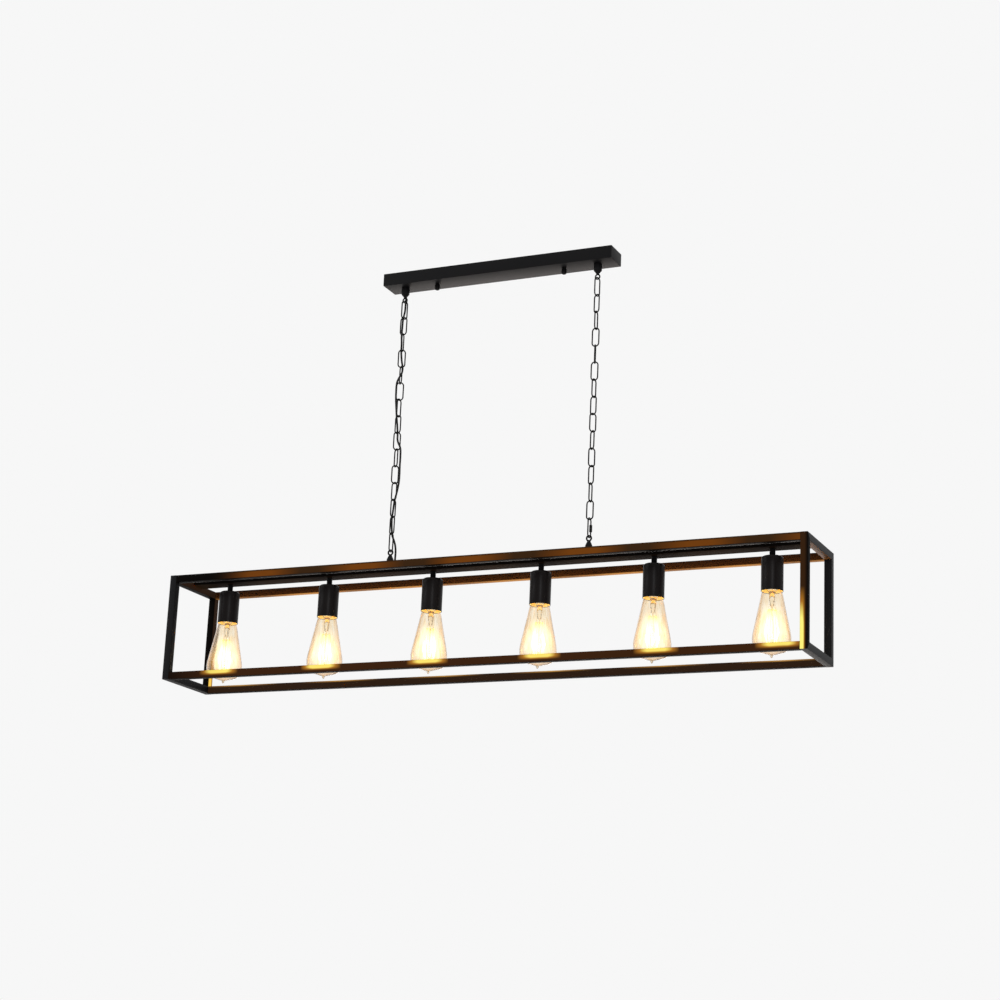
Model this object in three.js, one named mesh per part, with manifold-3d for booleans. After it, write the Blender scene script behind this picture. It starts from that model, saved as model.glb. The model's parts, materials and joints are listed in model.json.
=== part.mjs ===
// Linear island pendant: a black steel box frame on two chains below a long, narrow canopy.
// Six lampholders with teardrop lamps hang from a flat tube along the top of the frame.
// Millimetres, +Z up, +X along the length. The origin is on the ceiling, over the middle.
import * as THREE from "three";
import { mergeVertices } from "three/addons/utils/BufferGeometryUtils.js";
import Module from "manifold-3d";

const wasm = await Module();
wasm.setup();

// Fits
const seatGap = 0.3; // between pieces that bear on each other
const overrun = 2; // how far a cut runs past what it cuts

// Canopy and ceiling bracket
const chainSpacing = 381;
const canopyOverhang = 34.5; // past each chain
const canopyLength = chainSpacing + 2 * canopyOverhang;
const canopyDepth = 48;
const canopyHeight = 23;
const canopyWall = 1.2;
const bracketWidth = 24;
const bracketThickness = 2;
const bracketStep = 8; // the drop from the ceiling pad to the two ears
const bracketPadLength = 150;
const bracketRampLength = 10;
const bracketEarMargin = 12; // ear left beyond each screw
const slotLength = 18;
const slotWidth = 5;
const slotSpacing = 100;
const studSpacing = 251;
const studRadius = 2.3;
const studHeadRadius = 4.5;
const studHeadHeight = 3;
const studEndReach = 8; // stud below the canopy, inside its cap nut
const capNutRadius = 4.6;
const capNutHeight = 11;
const capNutDomeRadius = 3.2;
const terminalLength = 32;
const terminalWidth = 17;
const terminalHeight = 12;
const terminalWays = 3;
const terminalScrewRadius = 2;
const terminalScrewDepth = 6;

// Chains
const linkCount = 15;
const linkPitch = 31.5;
const linkWire = 2.4;
const linkWidth = 14.6;
const linkNest = 0.5; // how deep the links of the long run sit in each other
const linkPlay = 0.45; // looseness at the links that are hinges
// Turn of each link about the vertical, in degrees, from the top down
const linkTurnOffset = 25;
const leftLinkTurns = [38, -24, 76, 0, -70, 0, 60, -38, 20, -62, 20, -45, 51, -51, 62];
const rightLinkTurns = [43, -50, 64, -23, 81, -23, 55, -43, 30, -64, 30, -50, 64, -30, 64];

// Loops that carry the chains
const canopyEyeWire = 2.6;
const canopyEyeWidth = 5.6; // inside the eye
const canopyEyeHeight = 6;
const canopyEyeReach = 27; // canopy underside to the first link
const canopyCollarRadius = 7.4;
const canopyCollarHeight = 12;
const barEyeWire = 3;
const barEyeWidth = 5.6;
const barEyeHeight = 5.8;
const barEyeReach = 38; // last link to the top of the lamp bar
const barCollarRadius = 6.2;
const barCollarHeight = 22;
const eyeSink = 1.1; // how deep an eye is set in its collar
const shankRadius = 4;
const loopNutFlats = 12.6;
const loopNutHeight = 5;
const shankEnd = 2; // shank past its nut

// Frame
const cageLength = 1200;
const cageDepth = 149;
const cageHeight = 192;
const tubeSize = 13;
const tubeWall = 1.2;
const lampBarWidth = 31;
const lampBarHeight = 5;
const lampBarWall = 0.8;

// Lampholders and lamps
const lampCount = 6;
const endLampInset = 82.5; // from each end of the frame
const lampPitch = (cageLength - 2 * endLampInset) / (lampCount - 1);
const stemRadius = 5;
const stemBore = 3.4;
const stemInBar = 3;
const stemInHolder = 7.7;
const coverDrop = 13.5; // bare stem between the lamp bar and the cover
const coverRadius = 18.4;
const coverHeight = 59;
const coverWall = 1.2;
const coverShoulder = 4.5;
const holderRadius = 16;
const holderDrop = 12; // below the top of the cover
const holderHeight = 38;
const holderWebTop = 8;
const holderWeb = 7;
const holderContactRadius = 7;
const holderContactHeight = 1.5;
const capRadius = 13.1;
const capLength = 25;
const capWall = 1.1;
const capTipRadius = 4.5;
const capConeHeight = 5;
const threadRadius = 13.6; // bore of the holder
const glassNeck = 6; // glass held inside the cap
const glassRadius = 32;
const glassLength = 122; // neck end to tip
const glassWall = 1.2;
const tipRadius = 2.6;
const tipLength = 5;

// Power cord, from a gland in the canopy down the left chain to a grommet in the lamp bar
const cordRadius = 1.8;
const glandOffsetX = -4.6; // from the left chain
const glandOffsetY = 12.2;
const glandRadius = 4.2;
const glandFlange = 2;
const glandNose = 4;
const glandShankRadius = 2.8;
const glandShankLength = 3.5;
const grommetOffset = 9.5;
const grommetRadius = 3;
const grommetHeight = 3;
const grommetShankRadius = 2.2;
const grommetShankLength = 2.5;
const cordSteps = 32; // for each half
// Its route beside the chain, seen from linkTurnOffset: links below the first hinge, sideways and
// frontways
const cordRoute = [
  [0, 1, -9], [0.49, 0.5, -8.2], [1, -2.1, -8], [1.49, -2.6, -8.2], [2, -3, -8],
  [2.5, -2.2, -8.2], [3, -2, -8], [3.54, -0.2, -8.2], [3.9, 2, -7.8], [4.22, 2.2, -4],
  [4.45, 0.5, -1.5], [4.64, -2.5, -1.2], [4.84, -5.5, -3.2], [5.03, -6.8, -4.6], [5.52, -7, -5],
  [6, -6.4, -5.2], [6.49, -5, -6.4], [7, -3.4, -7.4], [7.5, -1.4, -8.2], [8, 0, -8],
  [8.18, 0.3, -5.2], [8.41, 0.8, -1.5], [8.64, 3, 1], [8.83, 5.8, 2.6], [9.06, 7.5, 2.9],
  [9.51, 7.9, 2.4], [10, 7.8, 2.1], [10.52, 8.1, 2], [11, 7.6, 1.4], [11.49, 5, -3],
  [12, 1.4, -7.9], [12.5, 0, -8.4], [13, -1.4, -8], [13.51, -1, -8.6], [14, 0.8, -9.2],
  [14.32, 4.5, -9], [14.64, 7.4, -6], [15, 8.8, -2],
];
// The same beside the two loops: the share of the loop's reach away from the chain
const cordBelowGland = [0.48, 1, -13];
const cordAboveGrommet = [[0.36, 8.9, 2], [0.69, 8.6, 4]];

// Fineness of round forms
const wireSides = 6;
const linkSteps = 10;
const roundSides = 16;
const smallSides = 12;
const shoulderSteps = 2;

// Levels
const canopyUnderside = -canopyHeight;
const firstHinge = canopyUnderside - canopyEyeReach;
const lastHinge = firstHinge - linkCount * linkPitch;
const cageTop = lastHinge - barEyeReach;
const cageBottom = cageTop - cageHeight;
const barUnderside = cageTop - lampBarHeight;
const coverTop = barUnderside - coverDrop;
const coverBottom = coverTop - coverHeight;
const holderTop = coverTop - holderDrop;
const holderBottom = holderTop - holderHeight;
const holderFloor = holderTop - holderWebTop - holderWeb - holderContactHeight;
const capTop = holderFloor - seatGap;
const capBottom = capTop - capLength;
const glassTop = capBottom + glassNeck;

// Finishes
const black = { color: 0x1b1a19, roughness: 0.55, metalness: 0.6 };
const blackPlastic = { color: 0x151515, roughness: 0.6, metalness: 0 };
const cordJacket = { color: 0x101010, roughness: 0.8, metalness: 0 };
const zinc = { color: 0xa9abac, roughness: 0.4, metalness: 1 };
const ceramic = { color: 0xe9e4d8, roughness: 0.35, metalness: 0 };
const brass = { color: 0xc9a75a, roughness: 0.35, metalness: 1 };
const amberGlass = { color: 0xe8c48a, roughness: 0.05, metalness: 0 };

const pendant = new THREE.Group();

function place(name, geometry, finish) {
  const mesh = new THREE.Mesh(geometry, new THREE.MeshStandardMaterial(finish));
  mesh.name = name;
  pendant.add(mesh);
  return mesh;
}

// A geometry with only its positions, shared vertices merged and its faces pointing out
function closed(geometry) {
  const bare = geometry.clone();
  bare.deleteAttribute("normal");
  bare.deleteAttribute("uv");
  const merged = mergeVertices(bare, seatGap / 1000);
  const points = merged.attributes.position.array;
  const faces = merged.index.array;
  const corner = (i) => new THREE.Vector3().fromArray(points, 3 * faces[i]);
  const kept = [];
  let volume = 0;
  for (let i = 0; i < faces.length; i += 3) {
    if (faces[i] === faces[i + 1] || faces[i + 1] === faces[i + 2] || faces[i] === faces[i + 2]) continue;
    volume += corner(i).dot(corner(i + 1).cross(corner(i + 2)));
    kept.push(faces[i], faces[i + 1], faces[i + 2]);
  }
  merged.setIndex(volume < 0 ? kept.reverse() : kept);
  return merged;
}

function solid(geometry) {
  const body = closed(geometry);
  return new wasm.Manifold(new wasm.Mesh({
    numProp: 3,
    vertProperties: new Float32Array(body.attributes.position.array),
    triVerts: new Uint32Array(body.index.array),
  }));
}

function shape(body) {
  const mesh = body.getMesh();
  const geometry = new THREE.BufferGeometry();
  geometry.setAttribute("position", new THREE.BufferAttribute(mesh.vertProperties, 3));
  geometry.setIndex(new THREE.BufferAttribute(mesh.triVerts, 1));
  return geometry;
}

function cut(geometry, ...tools) {
  return shape(tools.reduce((body, tool) => body.subtract(solid(tool)), solid(geometry)));
}

function join(first, ...others) {
  return shape(others.reduce((body, other) => body.add(solid(other)), solid(first)));
}

// A box between two corners
function block([x0, y0, z0], [x1, y1, z1]) {
  const box = new THREE.BoxGeometry(x1 - x0, y1 - y0, z1 - z0);
  return box.translate((x0 + x1) / 2, (y0 + y1) / 2, (z0 + z1) / 2);
}

// A turned piece about the vertical; its profile is [radius, height] pairs
function turned(profile, sides, x = 0, y = 0) {
  const points = profile.map(([radius, height]) => new THREE.Vector2(radius, height));
  const lathe = new THREE.LatheGeometry(points, sides).rotateX(Math.PI / 2).translate(x, y, 0);
  return closed(lathe);
}

function rod(radius, bottom, top, sides, x = 0, y = 0) {
  return turned([[0, bottom], [radius, bottom], [radius, top], [0, top]], sides, x, y);
}

// A round-wire ring drawn out into an oval, upright in the XZ plane and centred on the origin
function ovalRing(innerWidth, innerHeight, wire) {
  const bend = (innerWidth + wire) / 2;
  const stretch = innerHeight / 2 - innerWidth / 2;
  const ring = new THREE.TorusGeometry(bend, wire / 2, wireSides, linkSteps);
  ring.rotateZ(Math.PI / linkSteps);
  const points = ring.attributes.position;
  for (let i = 0; i < points.count; i += 1) {
    points.setY(i, points.getY(i) + Math.sign(points.getY(i)) * stretch);
  }
  return closed(ring.rotateX(Math.PI / 2));
}

// Ceiling bracket: a strap whose middle lies on the ceiling and whose ears carry the studs
const padEnd = bracketPadLength / 2;
const earStart = padEnd + bracketRampLength;
const earEnd = studSpacing / 2 + bracketEarMargin;
const strapOutline = new THREE.Shape();
strapOutline.moveTo(-padEnd, 0);
strapOutline.lineTo(padEnd, 0);
strapOutline.lineTo(earStart, -bracketStep);
strapOutline.lineTo(earEnd, -bracketStep);
strapOutline.lineTo(earEnd, -bracketStep - bracketThickness);
strapOutline.lineTo(earStart, -bracketStep - bracketThickness);
strapOutline.lineTo(padEnd, -bracketThickness);
strapOutline.lineTo(-padEnd, -bracketThickness);
strapOutline.lineTo(-earStart, -bracketStep - bracketThickness);
strapOutline.lineTo(-earEnd, -bracketStep - bracketThickness);
strapOutline.lineTo(-earEnd, -bracketStep);
strapOutline.lineTo(-earStart, -bracketStep);
const strap = new THREE.ExtrudeGeometry(strapOutline, { depth: bracketWidth, bevelEnabled: false });
strap.rotateX(Math.PI / 2).translate(0, bracketWidth / 2, 0);

const bracketCuts = [-1, 1].flatMap((side) => [
  block(
    [side * slotSpacing / 2 - slotLength / 2, -slotWidth / 2, -bracketThickness - overrun],
    [side * slotSpacing / 2 + slotLength / 2, slotWidth / 2, overrun],
  ),
  rod(studRadius + seatGap, -bracketStep - bracketThickness - overrun, overrun, smallSides,
    side * studSpacing / 2),
]);
place("ceiling_bracket", cut(strap, ...bracketCuts), zinc);

// Canopy: a folded steel tray, open to the ceiling
const leftChainX = -chainSpacing / 2;
const glandX = leftChainX + glandOffsetX;
const canopyFloor = canopyUnderside + canopyWall;
const tray = block(
  [-canopyLength / 2, -canopyDepth / 2, canopyUnderside],
  [canopyLength / 2, canopyDepth / 2, 0],
);
const trayHollow = block(
  [-canopyLength / 2 + canopyWall, -canopyDepth / 2 + canopyWall, canopyFloor],
  [canopyLength / 2 - canopyWall, canopyDepth / 2 - canopyWall, overrun],
);
const throughFloor = (radius, x, y = 0) =>
  rod(radius + seatGap, canopyUnderside - overrun, canopyFloor + overrun, smallSides, x, y);
place("canopy_cover", cut(
  tray,
  trayHollow,
  throughFloor(studRadius, -studSpacing / 2),
  throughFloor(studRadius, studSpacing / 2),
  throughFloor(shankRadius, -chainSpacing / 2),
  throughFloor(shankRadius, chainSpacing / 2),
  throughFloor(glandShankRadius, glandX, glandOffsetY),
), black);

// Studs through the ears, with domed cap nuts under the canopy
const studTop = -bracketStep + seatGap;
for (const [side, sign] of [["left", -1], ["right", 1]]) {
  const x = sign * studSpacing / 2;
  place(`mounting_stud_${side}`, turned([
    [0, canopyUnderside - studEndReach], [studRadius, canopyUnderside - studEndReach],
    [studRadius, studTop], [studHeadRadius, studTop],
    [studHeadRadius, studTop + studHeadHeight], [0, studTop + studHeadHeight],
  ], smallSides, x), zinc);

  const nutTop = canopyUnderside - seatGap;
  const nutBottom = nutTop - capNutHeight;
  const boreEnd = canopyUnderside - studEndReach - seatGap;
  place(`cap_nut_${side}`, turned([
    [0, nutBottom], [capNutDomeRadius, nutBottom + seatGap],
    [capNutRadius, nutBottom + capNutRadius - capNutDomeRadius + seatGap], [capNutRadius, nutTop],
    [studRadius + seatGap, nutTop], [studRadius + seatGap, boreEnd], [0, boreEnd],
  ], roundSides, x), black);
}

// Terminal block for the supply wires, under the middle of the bracket
const terminalTop = -bracketThickness - seatGap;
const wayPitch = terminalLength / terminalWays;
const screwWells = Array.from({ length: terminalWays }, (_, way) => rod(
  terminalScrewRadius, terminalTop - terminalHeight - overrun,
  terminalTop - terminalHeight + terminalScrewDepth, smallSides,
  (way - (terminalWays - 1) / 2) * wayPitch,
));
place("terminal_block", cut(block(
  [-terminalLength / 2, -terminalWidth / 2, terminalTop - terminalHeight],
  [terminalLength / 2, terminalWidth / 2, terminalTop],
), ...screwWells), ceramic);

// Loops that hold the chains: shank, collar and eye in one piece
const eyeOuterHeight = (height, wire) => height + 2 * wire;
const canopyEyeMiddle = firstHinge + canopyEyeHeight / 2;
const canopyEyeTop = canopyEyeMiddle + eyeOuterHeight(canopyEyeHeight, canopyEyeWire) / 2;
const barEyeMiddle = lastHinge - barEyeHeight / 2;
const barEyeBottom = barEyeMiddle - eyeOuterHeight(barEyeHeight, barEyeWire) / 2;
const loopNutBottom = canopyFloor + seatGap;
const shankTop = loopNutBottom + loopNutHeight + shankEnd;
for (const [side, sign] of [["left", -1], ["right", 1]]) {
  const x = sign * chainSpacing / 2;
  const collarTop = canopyUnderside - seatGap;
  const canopyEye = ovalRing(canopyEyeWidth, canopyEyeHeight, canopyEyeWire);
  place(`canopy_loop_${side}`, join(
    turned([
      [0, canopyEyeTop - eyeSink], [canopyEyeWire, canopyEyeTop - eyeSink],
      [canopyCollarRadius, collarTop - canopyCollarHeight], [canopyCollarRadius, collarTop],
      [shankRadius, collarTop], [shankRadius, shankTop], [0, shankTop],
    ], smallSides, x),
    canopyEye.translate(x, 0, canopyEyeMiddle),
  ), black);

  const nutBore = rod(shankRadius + seatGap, loopNutBottom - overrun,
    loopNutBottom + loopNutHeight + overrun, smallSides, x);
  const nutCorner = loopNutFlats / 2 / Math.cos(Math.PI / 6);
  place(`loop_nut_${side}`, cut(
    rod(nutCorner, loopNutBottom, loopNutBottom + loopNutHeight, 6, x), nutBore,
  ), zinc);

  const barEye = ovalRing(barEyeWidth, barEyeHeight, barEyeWire);
  place(`bar_loop_${side}`, join(
    turned([
      [0, cageTop - lampBarHeight / 2], [shankRadius, cageTop - lampBarHeight / 2],
      [shankRadius, cageTop + seatGap], [barCollarRadius, cageTop + seatGap],
      [barCollarRadius, cageTop + barCollarHeight], [barEyeWire, barEyeBottom + eyeSink],
      [0, barEyeBottom + eyeSink],
    ], smallSides, x),
    barEye.translate(x, 0, barEyeMiddle),
  ), black);
}

// Chains: the first and last link of each are loose, and the run between them is one piece
function chainLink(turn, index, x, innerHeight) {
  const ring = ovalRing(linkWidth - 2 * linkWire, innerHeight, linkWire);
  ring.rotateZ(THREE.MathUtils.degToRad(turn + linkTurnOffset));
  return ring.translate(x, 0, firstHinge - (index + 0.5) * linkPitch);
}

for (const [side, sign, turns] of [["left", -1, leftLinkTurns], ["right", 1, rightLinkTurns]]) {
  const x = sign * chainSpacing / 2;
  const last = linkCount - 1;
  const turnOf = (index) => turns[index % turns.length];
  place(`top_link_${side}`, chainLink(turnOf(0), 0, x, linkPitch + 2 * linkPlay), black);
  const run = [];
  for (let index = 1; index < last; index += 1) {
    run.push(chainLink(turnOf(index), index, x, linkPitch - linkNest + seatGap));
  }
  place(`chain_${side}`, join(...run), black);
  place(`bottom_link_${side}`, chainLink(turnOf(last), last, x, linkPitch + 2 * linkPlay), black);
}

// Frame: two mitred end frames of square tube, and four rails between them
function rectTube([x0, y0, z0], [x1, y1, z1], wall) {
  return cut(
    block([x0, y0, z0], [x1, y1, z1]),
    block([x0 - overrun, y0 + wall, z0 + wall], [x1 + overrun, y1 - wall, z1 - wall]),
  );
}

const halfLength = cageLength / 2;
const halfDepth = cageDepth / 2;
const railEnd = halfLength - tubeSize - seatGap;
for (const [side, sign] of [["near", -1], ["far", 1]]) {
  const outer = sign * halfDepth;
  const inner = sign * (halfDepth - tubeSize);
  const [y0, y1] = [Math.min(outer, inner), Math.max(outer, inner)];
  place(`${side}_top_rail`,
    rectTube([-railEnd, y0, cageTop - tubeSize], [railEnd, y1, cageTop], tubeWall), black);
  place(`${side}_bottom_rail`,
    rectTube([-railEnd, y0, cageBottom], [railEnd, y1, cageBottom + tubeSize], tubeWall), black);
}

// A rectangular ring in the YZ plane, drawn in by an inset on every side
function endRing(x0, x1, outerInset, innerInset, ends) {
  return cut(
    block([x0, -halfDepth + outerInset, cageBottom + outerInset],
      [x1, halfDepth - outerInset, cageTop - outerInset]),
    block([x0 - ends, -halfDepth + innerInset, cageBottom + innerInset],
      [x1 + ends, halfDepth - innerInset, cageTop - innerInset]),
  );
}

for (const [side, sign] of [["left", -1], ["right", 1]]) {
  const outerX = sign * halfLength;
  const innerX = sign * (halfLength - tubeSize);
  const [x0, x1] = [Math.min(outerX, innerX), Math.max(outerX, innerX)];
  const frame = endRing(x0, x1, 0, tubeSize, overrun);
  const hollow = endRing(x0 + tubeWall, x1 - tubeWall, tubeWall, tubeSize - tubeWall, overrun);
  // Each rail is welded over an opening as wide as its own bore
  const mouths = [];
  for (const y of [-halfDepth, halfDepth - tubeSize]) {
    for (const z of [cageBottom, cageTop - tubeSize]) {
      const [near, away] = [innerX - overrun, innerX + overrun];
      mouths.push(block(
        [near, y + tubeWall + seatGap, z + tubeWall + seatGap],
        [away, y + tubeSize - tubeWall - seatGap, z + tubeSize - tubeWall - seatGap],
      ));
    }
  }
  place(`${side}_end_frame`, cut(frame, hollow, ...mouths), black);
}

// Lamp bar: a flat tube between the end frames, drilled for stems, loops and the cord
const lampX = (lamp) => (lamp - (lampCount - 1) / 2) * lampPitch;
const lampNumbers = Array.from({ length: lampCount }, (_, lamp) => lamp);
const grommetX = leftChainX + grommetOffset;
const barTopHole = (radius, x) =>
  rod(radius + seatGap, cageTop - lampBarWall - overrun, cageTop + overrun, smallSides, x);
place("lamp_bar", cut(
  rectTube([-railEnd, -lampBarWidth / 2, barUnderside], [railEnd, lampBarWidth / 2, cageTop],
    lampBarWall),
  ...lampNumbers.map((lamp) => rod(stemRadius + seatGap, barUnderside - overrun,
    barUnderside + lampBarWall + overrun, smallSides, lampX(lamp))),
  barTopHole(shankRadius, -chainSpacing / 2),
  barTopHole(shankRadius, chainSpacing / 2),
  barTopHole(grommetShankRadius, grommetX),
), black);

// A round shoulder, as [radius, height] pairs
function arc(radius, centreRadius, centreHeight, from, to, steps) {
  return Array.from({ length: steps + 1 }, (_, step) => {
    const angle = THREE.MathUtils.degToRad(from + ((to - from) * step) / steps);
    return [centreRadius + radius * Math.cos(angle), centreHeight + radius * Math.sin(angle)];
  });
}

// Outline of the lamp's glass, as shares of its radius and of its length from neck end to tip
const glassShares = [
  [0.44, 0.075], [0.54, 0.125], [0.68, 0.31], [0.86, 0.55], [0.97, 0.7], [1, 0.78],
  [0.95, 0.88], [0.76, 0.94], [0.4, 0.975],
];

for (const lamp of lampNumbers) {
  const x = lampX(lamp);
  const number = lamp + 1;

  // Threaded stem
  const stemTop = barUnderside + stemInBar;
  const stemBottom = holderTop - stemInHolder;
  place(`stem_${number}`, turned([
    [stemBore, stemBottom], [stemRadius, stemBottom], [stemRadius, stemTop], [stemBore, stemTop],
    [stemBore, stemBottom],
  ], smallSides, x), black);

  // Cover: a deep cup over the lampholder, open below
  const coverHole = stemRadius + seatGap;
  place(`socket_cover_${number}`, turned([
    [coverRadius - coverWall, coverBottom], [coverRadius, coverBottom],
    ...arc(coverShoulder, coverRadius - coverShoulder, coverTop - coverShoulder, 0, 90, shoulderSteps),
    [coverHole, coverTop], [coverHole, coverTop - coverWall],
    [coverRadius - coverShoulder, coverTop - coverWall],
    [coverRadius - coverWall, coverTop - coverShoulder],
    [coverRadius - coverWall, coverBottom],
  ], roundSides, x), black);

  // Lampholder: stem socket above, web with the contact, lamp bore below
  place(`lampholder_${number}`, turned([
    [0, holderFloor], [holderContactRadius, holderFloor],
    [holderContactRadius, holderFloor + holderContactHeight],
    [threadRadius, holderFloor + holderContactHeight], [threadRadius, holderBottom],
    [holderRadius, holderBottom], [holderRadius, holderTop], [stemRadius + seatGap, holderTop],
    [stemRadius + seatGap, holderTop - holderWebTop], [0, holderTop - holderWebTop],
  ], roundSides, x), ceramic);

  // Lamp cap: contact, insulating cone and thread shell, open to the glass
  place(`bulb_cap_${number}`, turned([
    [0, capTop], [capTipRadius, capTop], [capRadius, capTop - capConeHeight],
    [capRadius, capBottom], [capRadius - capWall, capBottom],
    [capRadius - capWall, capTop - capConeHeight - capWall], [0, capTop - capWall],
  ].reverse(), roundSides, x), brass);

  // Lamp glass: a thin teardrop with its neck in the cap and a drawn tip below
  const neckRadius = capRadius - capWall - seatGap;
  const glassBottom = glassTop - glassLength;
  const bodyLength = glassLength - tipLength;
  const outside = glassShares.map(([radiusShare, lengthShare]) =>
    [glassRadius * radiusShare, glassTop - bodyLength * lengthShare]);
  const inside = outside.filter((_, step) => step % 2 === 0)
    .map(([radius, height]) => [radius - glassWall, height]);
  place(`bulb_glass_${number}`, turned([
    [0, glassBottom], [tipRadius, glassBottom + tipRadius], [tipRadius, glassBottom + tipLength],
    ...outside.reverse(),
    [neckRadius, glassTop - glassNeck], [neckRadius, glassTop],
    [neckRadius - glassWall, glassTop], [neckRadius - glassWall, glassTop - glassNeck],
    ...inside, [0, glassBottom + tipLength + glassWall],
  ], roundSides, x), amberGlass);
}

// Power cord, in an upper and a lower half that meet beside the chain
const glandTop = canopyUnderside - seatGap;
const glandNoseEnd = glandTop - glandFlange - glandNose;
place("cord_gland", turned([
  [0, glandNoseEnd], [cordRadius + seatGap, glandNoseEnd],
  [glandRadius, glandTop - glandFlange], [glandRadius, glandTop],
  [glandShankRadius, glandTop], [glandShankRadius, glandTop + glandShankLength],
  [0, glandTop + glandShankLength],
], smallSides, glandX, glandOffsetY), blackPlastic);

const grommetSeat = cageTop + seatGap;
const grommetTop = grommetSeat + grommetHeight;
place("cord_grommet", turned([
  [0, grommetSeat - grommetShankLength],
  [grommetShankRadius, grommetSeat - grommetShankLength],
  [grommetShankRadius, grommetSeat], [grommetRadius, grommetSeat],
  [grommetRadius, grommetSeat + grommetHeight / 2],
  [cordRadius + seatGap, grommetTop], [0, grommetTop],
], smallSides, grommetX), blackPlastic);

const cordTurn = THREE.MathUtils.degToRad(linkTurnOffset);
function besideChain(height, side, front) {
  const x = side * Math.cos(cordTurn) + front * Math.sin(cordTurn);
  const y = side * Math.sin(cordTurn) - front * Math.cos(cordTurn);
  return new THREE.Vector3(leftChainX + x, y, height);
}

const [glandReachShare, ...glandSideways] = cordBelowGland;
const cordPoints = [
  new THREE.Vector3(glandX, glandOffsetY, glandNoseEnd - seatGap),
  besideChain(firstHinge + canopyEyeReach * glandReachShare, ...glandSideways),
  ...cordRoute.filter(([links]) => links <= linkCount)
    .map(([links, side, front]) => besideChain(firstHinge - links * linkPitch, side, front)),
  ...cordAboveGrommet.map(([reachShare, side, front]) =>
    besideChain(lastHinge - barEyeReach * reachShare, side, front)),
  new THREE.Vector3(grommetX, 0, grommetTop + seatGap),
];
const cordCourse = new THREE.CatmullRomCurve3(cordPoints).getSpacedPoints(2 * cordSteps);
const upperCourse = cordCourse.slice(0, cordSteps + 1).map((point) => point.clone());
const lowerCourse = cordCourse.slice(cordSteps);
upperCourse[cordSteps].z += seatGap;
lowerCourse[0].z -= seatGap;
const cordSection = new THREE.Shape(new THREE.EllipseCurve(0, 0, cordRadius, cordRadius).getPoints(8));
for (const [half, course] of [["upper", upperCourse], ["lower", lowerCourse]]) {
  const tube = new THREE.ExtrudeGeometry(cordSection, {
    steps: cordSteps,
    extrudePath: new THREE.CatmullRomCurve3(course),
    bevelEnabled: false,
  });
  place(`cord_${half}`, closed(tube), cordJacket);
}

export default pendant;
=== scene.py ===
import json
import math

import bmesh
import bpy
from mathutils import Matrix, Vector

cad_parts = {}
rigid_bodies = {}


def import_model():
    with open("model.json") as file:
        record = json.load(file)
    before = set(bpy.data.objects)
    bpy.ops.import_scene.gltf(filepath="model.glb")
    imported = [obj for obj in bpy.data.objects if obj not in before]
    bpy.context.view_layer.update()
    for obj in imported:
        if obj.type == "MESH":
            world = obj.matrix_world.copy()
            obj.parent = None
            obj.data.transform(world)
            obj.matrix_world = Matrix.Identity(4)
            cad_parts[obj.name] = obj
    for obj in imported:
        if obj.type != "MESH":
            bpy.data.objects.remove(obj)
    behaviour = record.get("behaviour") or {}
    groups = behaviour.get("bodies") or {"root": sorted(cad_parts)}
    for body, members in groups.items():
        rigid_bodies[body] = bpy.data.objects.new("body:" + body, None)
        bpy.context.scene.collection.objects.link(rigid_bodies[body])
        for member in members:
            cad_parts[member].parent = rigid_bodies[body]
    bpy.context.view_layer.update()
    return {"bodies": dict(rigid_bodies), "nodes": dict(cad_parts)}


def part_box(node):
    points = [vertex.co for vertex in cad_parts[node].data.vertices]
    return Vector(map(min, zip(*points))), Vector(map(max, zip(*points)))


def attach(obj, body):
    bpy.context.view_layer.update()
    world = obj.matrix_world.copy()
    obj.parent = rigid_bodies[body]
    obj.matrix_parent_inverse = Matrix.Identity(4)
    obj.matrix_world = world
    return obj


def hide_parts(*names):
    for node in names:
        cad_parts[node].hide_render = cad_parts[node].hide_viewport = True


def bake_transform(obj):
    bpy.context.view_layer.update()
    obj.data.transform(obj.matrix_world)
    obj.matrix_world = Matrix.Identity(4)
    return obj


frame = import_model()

print("frame loaded")

# A black steel box frame with six lamps, hung on two chains. Metres, +Z up, origin on the ceiling.

# Camera
cameraView = {
    "place": (1.588, -3.3738, -1.4875),
    "heading": 24.932,   # degrees to the left of +Y
    "pitch": 15.664,     # upwards
    "roll": 2.54,
    "lens": 79.42,
    "sensor": 36,
}


def addCamera():
    data = bpy.data.cameras.new("camera")
    data.lens = cameraView["lens"]
    data.sensor_width = cameraView["sensor"]
    camera = bpy.data.objects.new("camera", data)
    bpy.context.scene.collection.objects.link(camera)
    turn = Matrix.Rotation(math.radians(cameraView["heading"]), 4, "Z")
    tilt = Matrix.Rotation(math.radians(90 + cameraView["pitch"]), 4, "X")
    roll = Matrix.Rotation(math.radians(cameraView["roll"]), 4, "Z")
    camera.matrix_world = Matrix.Translation(cameraView["place"]) @ turn @ tilt @ roll
    bpy.context.scene.camera = camera


addCamera()
print("camera placed")


def boxCentre(node):
    low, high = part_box(node)
    return (low + high) / 2


# Material building blocks
def addNode(tree, kind, sockets=None, **settings):
    node = tree.nodes.new(kind)
    for key, value in settings.items():
        setattr(node, key, value)
    for key, value in (sockets or {}).items():
        if isinstance(value, bpy.types.NodeSocket):
            tree.links.new(value, node.inputs[key])
        else:
            node.inputs[key].default_value = value
    return node


def newFinish(name):
    finish = bpy.data.materials.new(name)
    finish.use_nodes = True
    tree = finish.node_tree
    shader = tree.nodes["Principled BSDF"]
    return finish, tree, shader


def objectPoint(tree):
    return addNode(tree, "ShaderNodeTexCoord").outputs["Object"]


def noiseValue(tree, point, scale, detail=2.0):
    noise = addNode(tree, "ShaderNodeTexNoise", {"Vector": point, "Scale": scale, "Detail": detail})
    return noise.outputs["Fac"]


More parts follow.
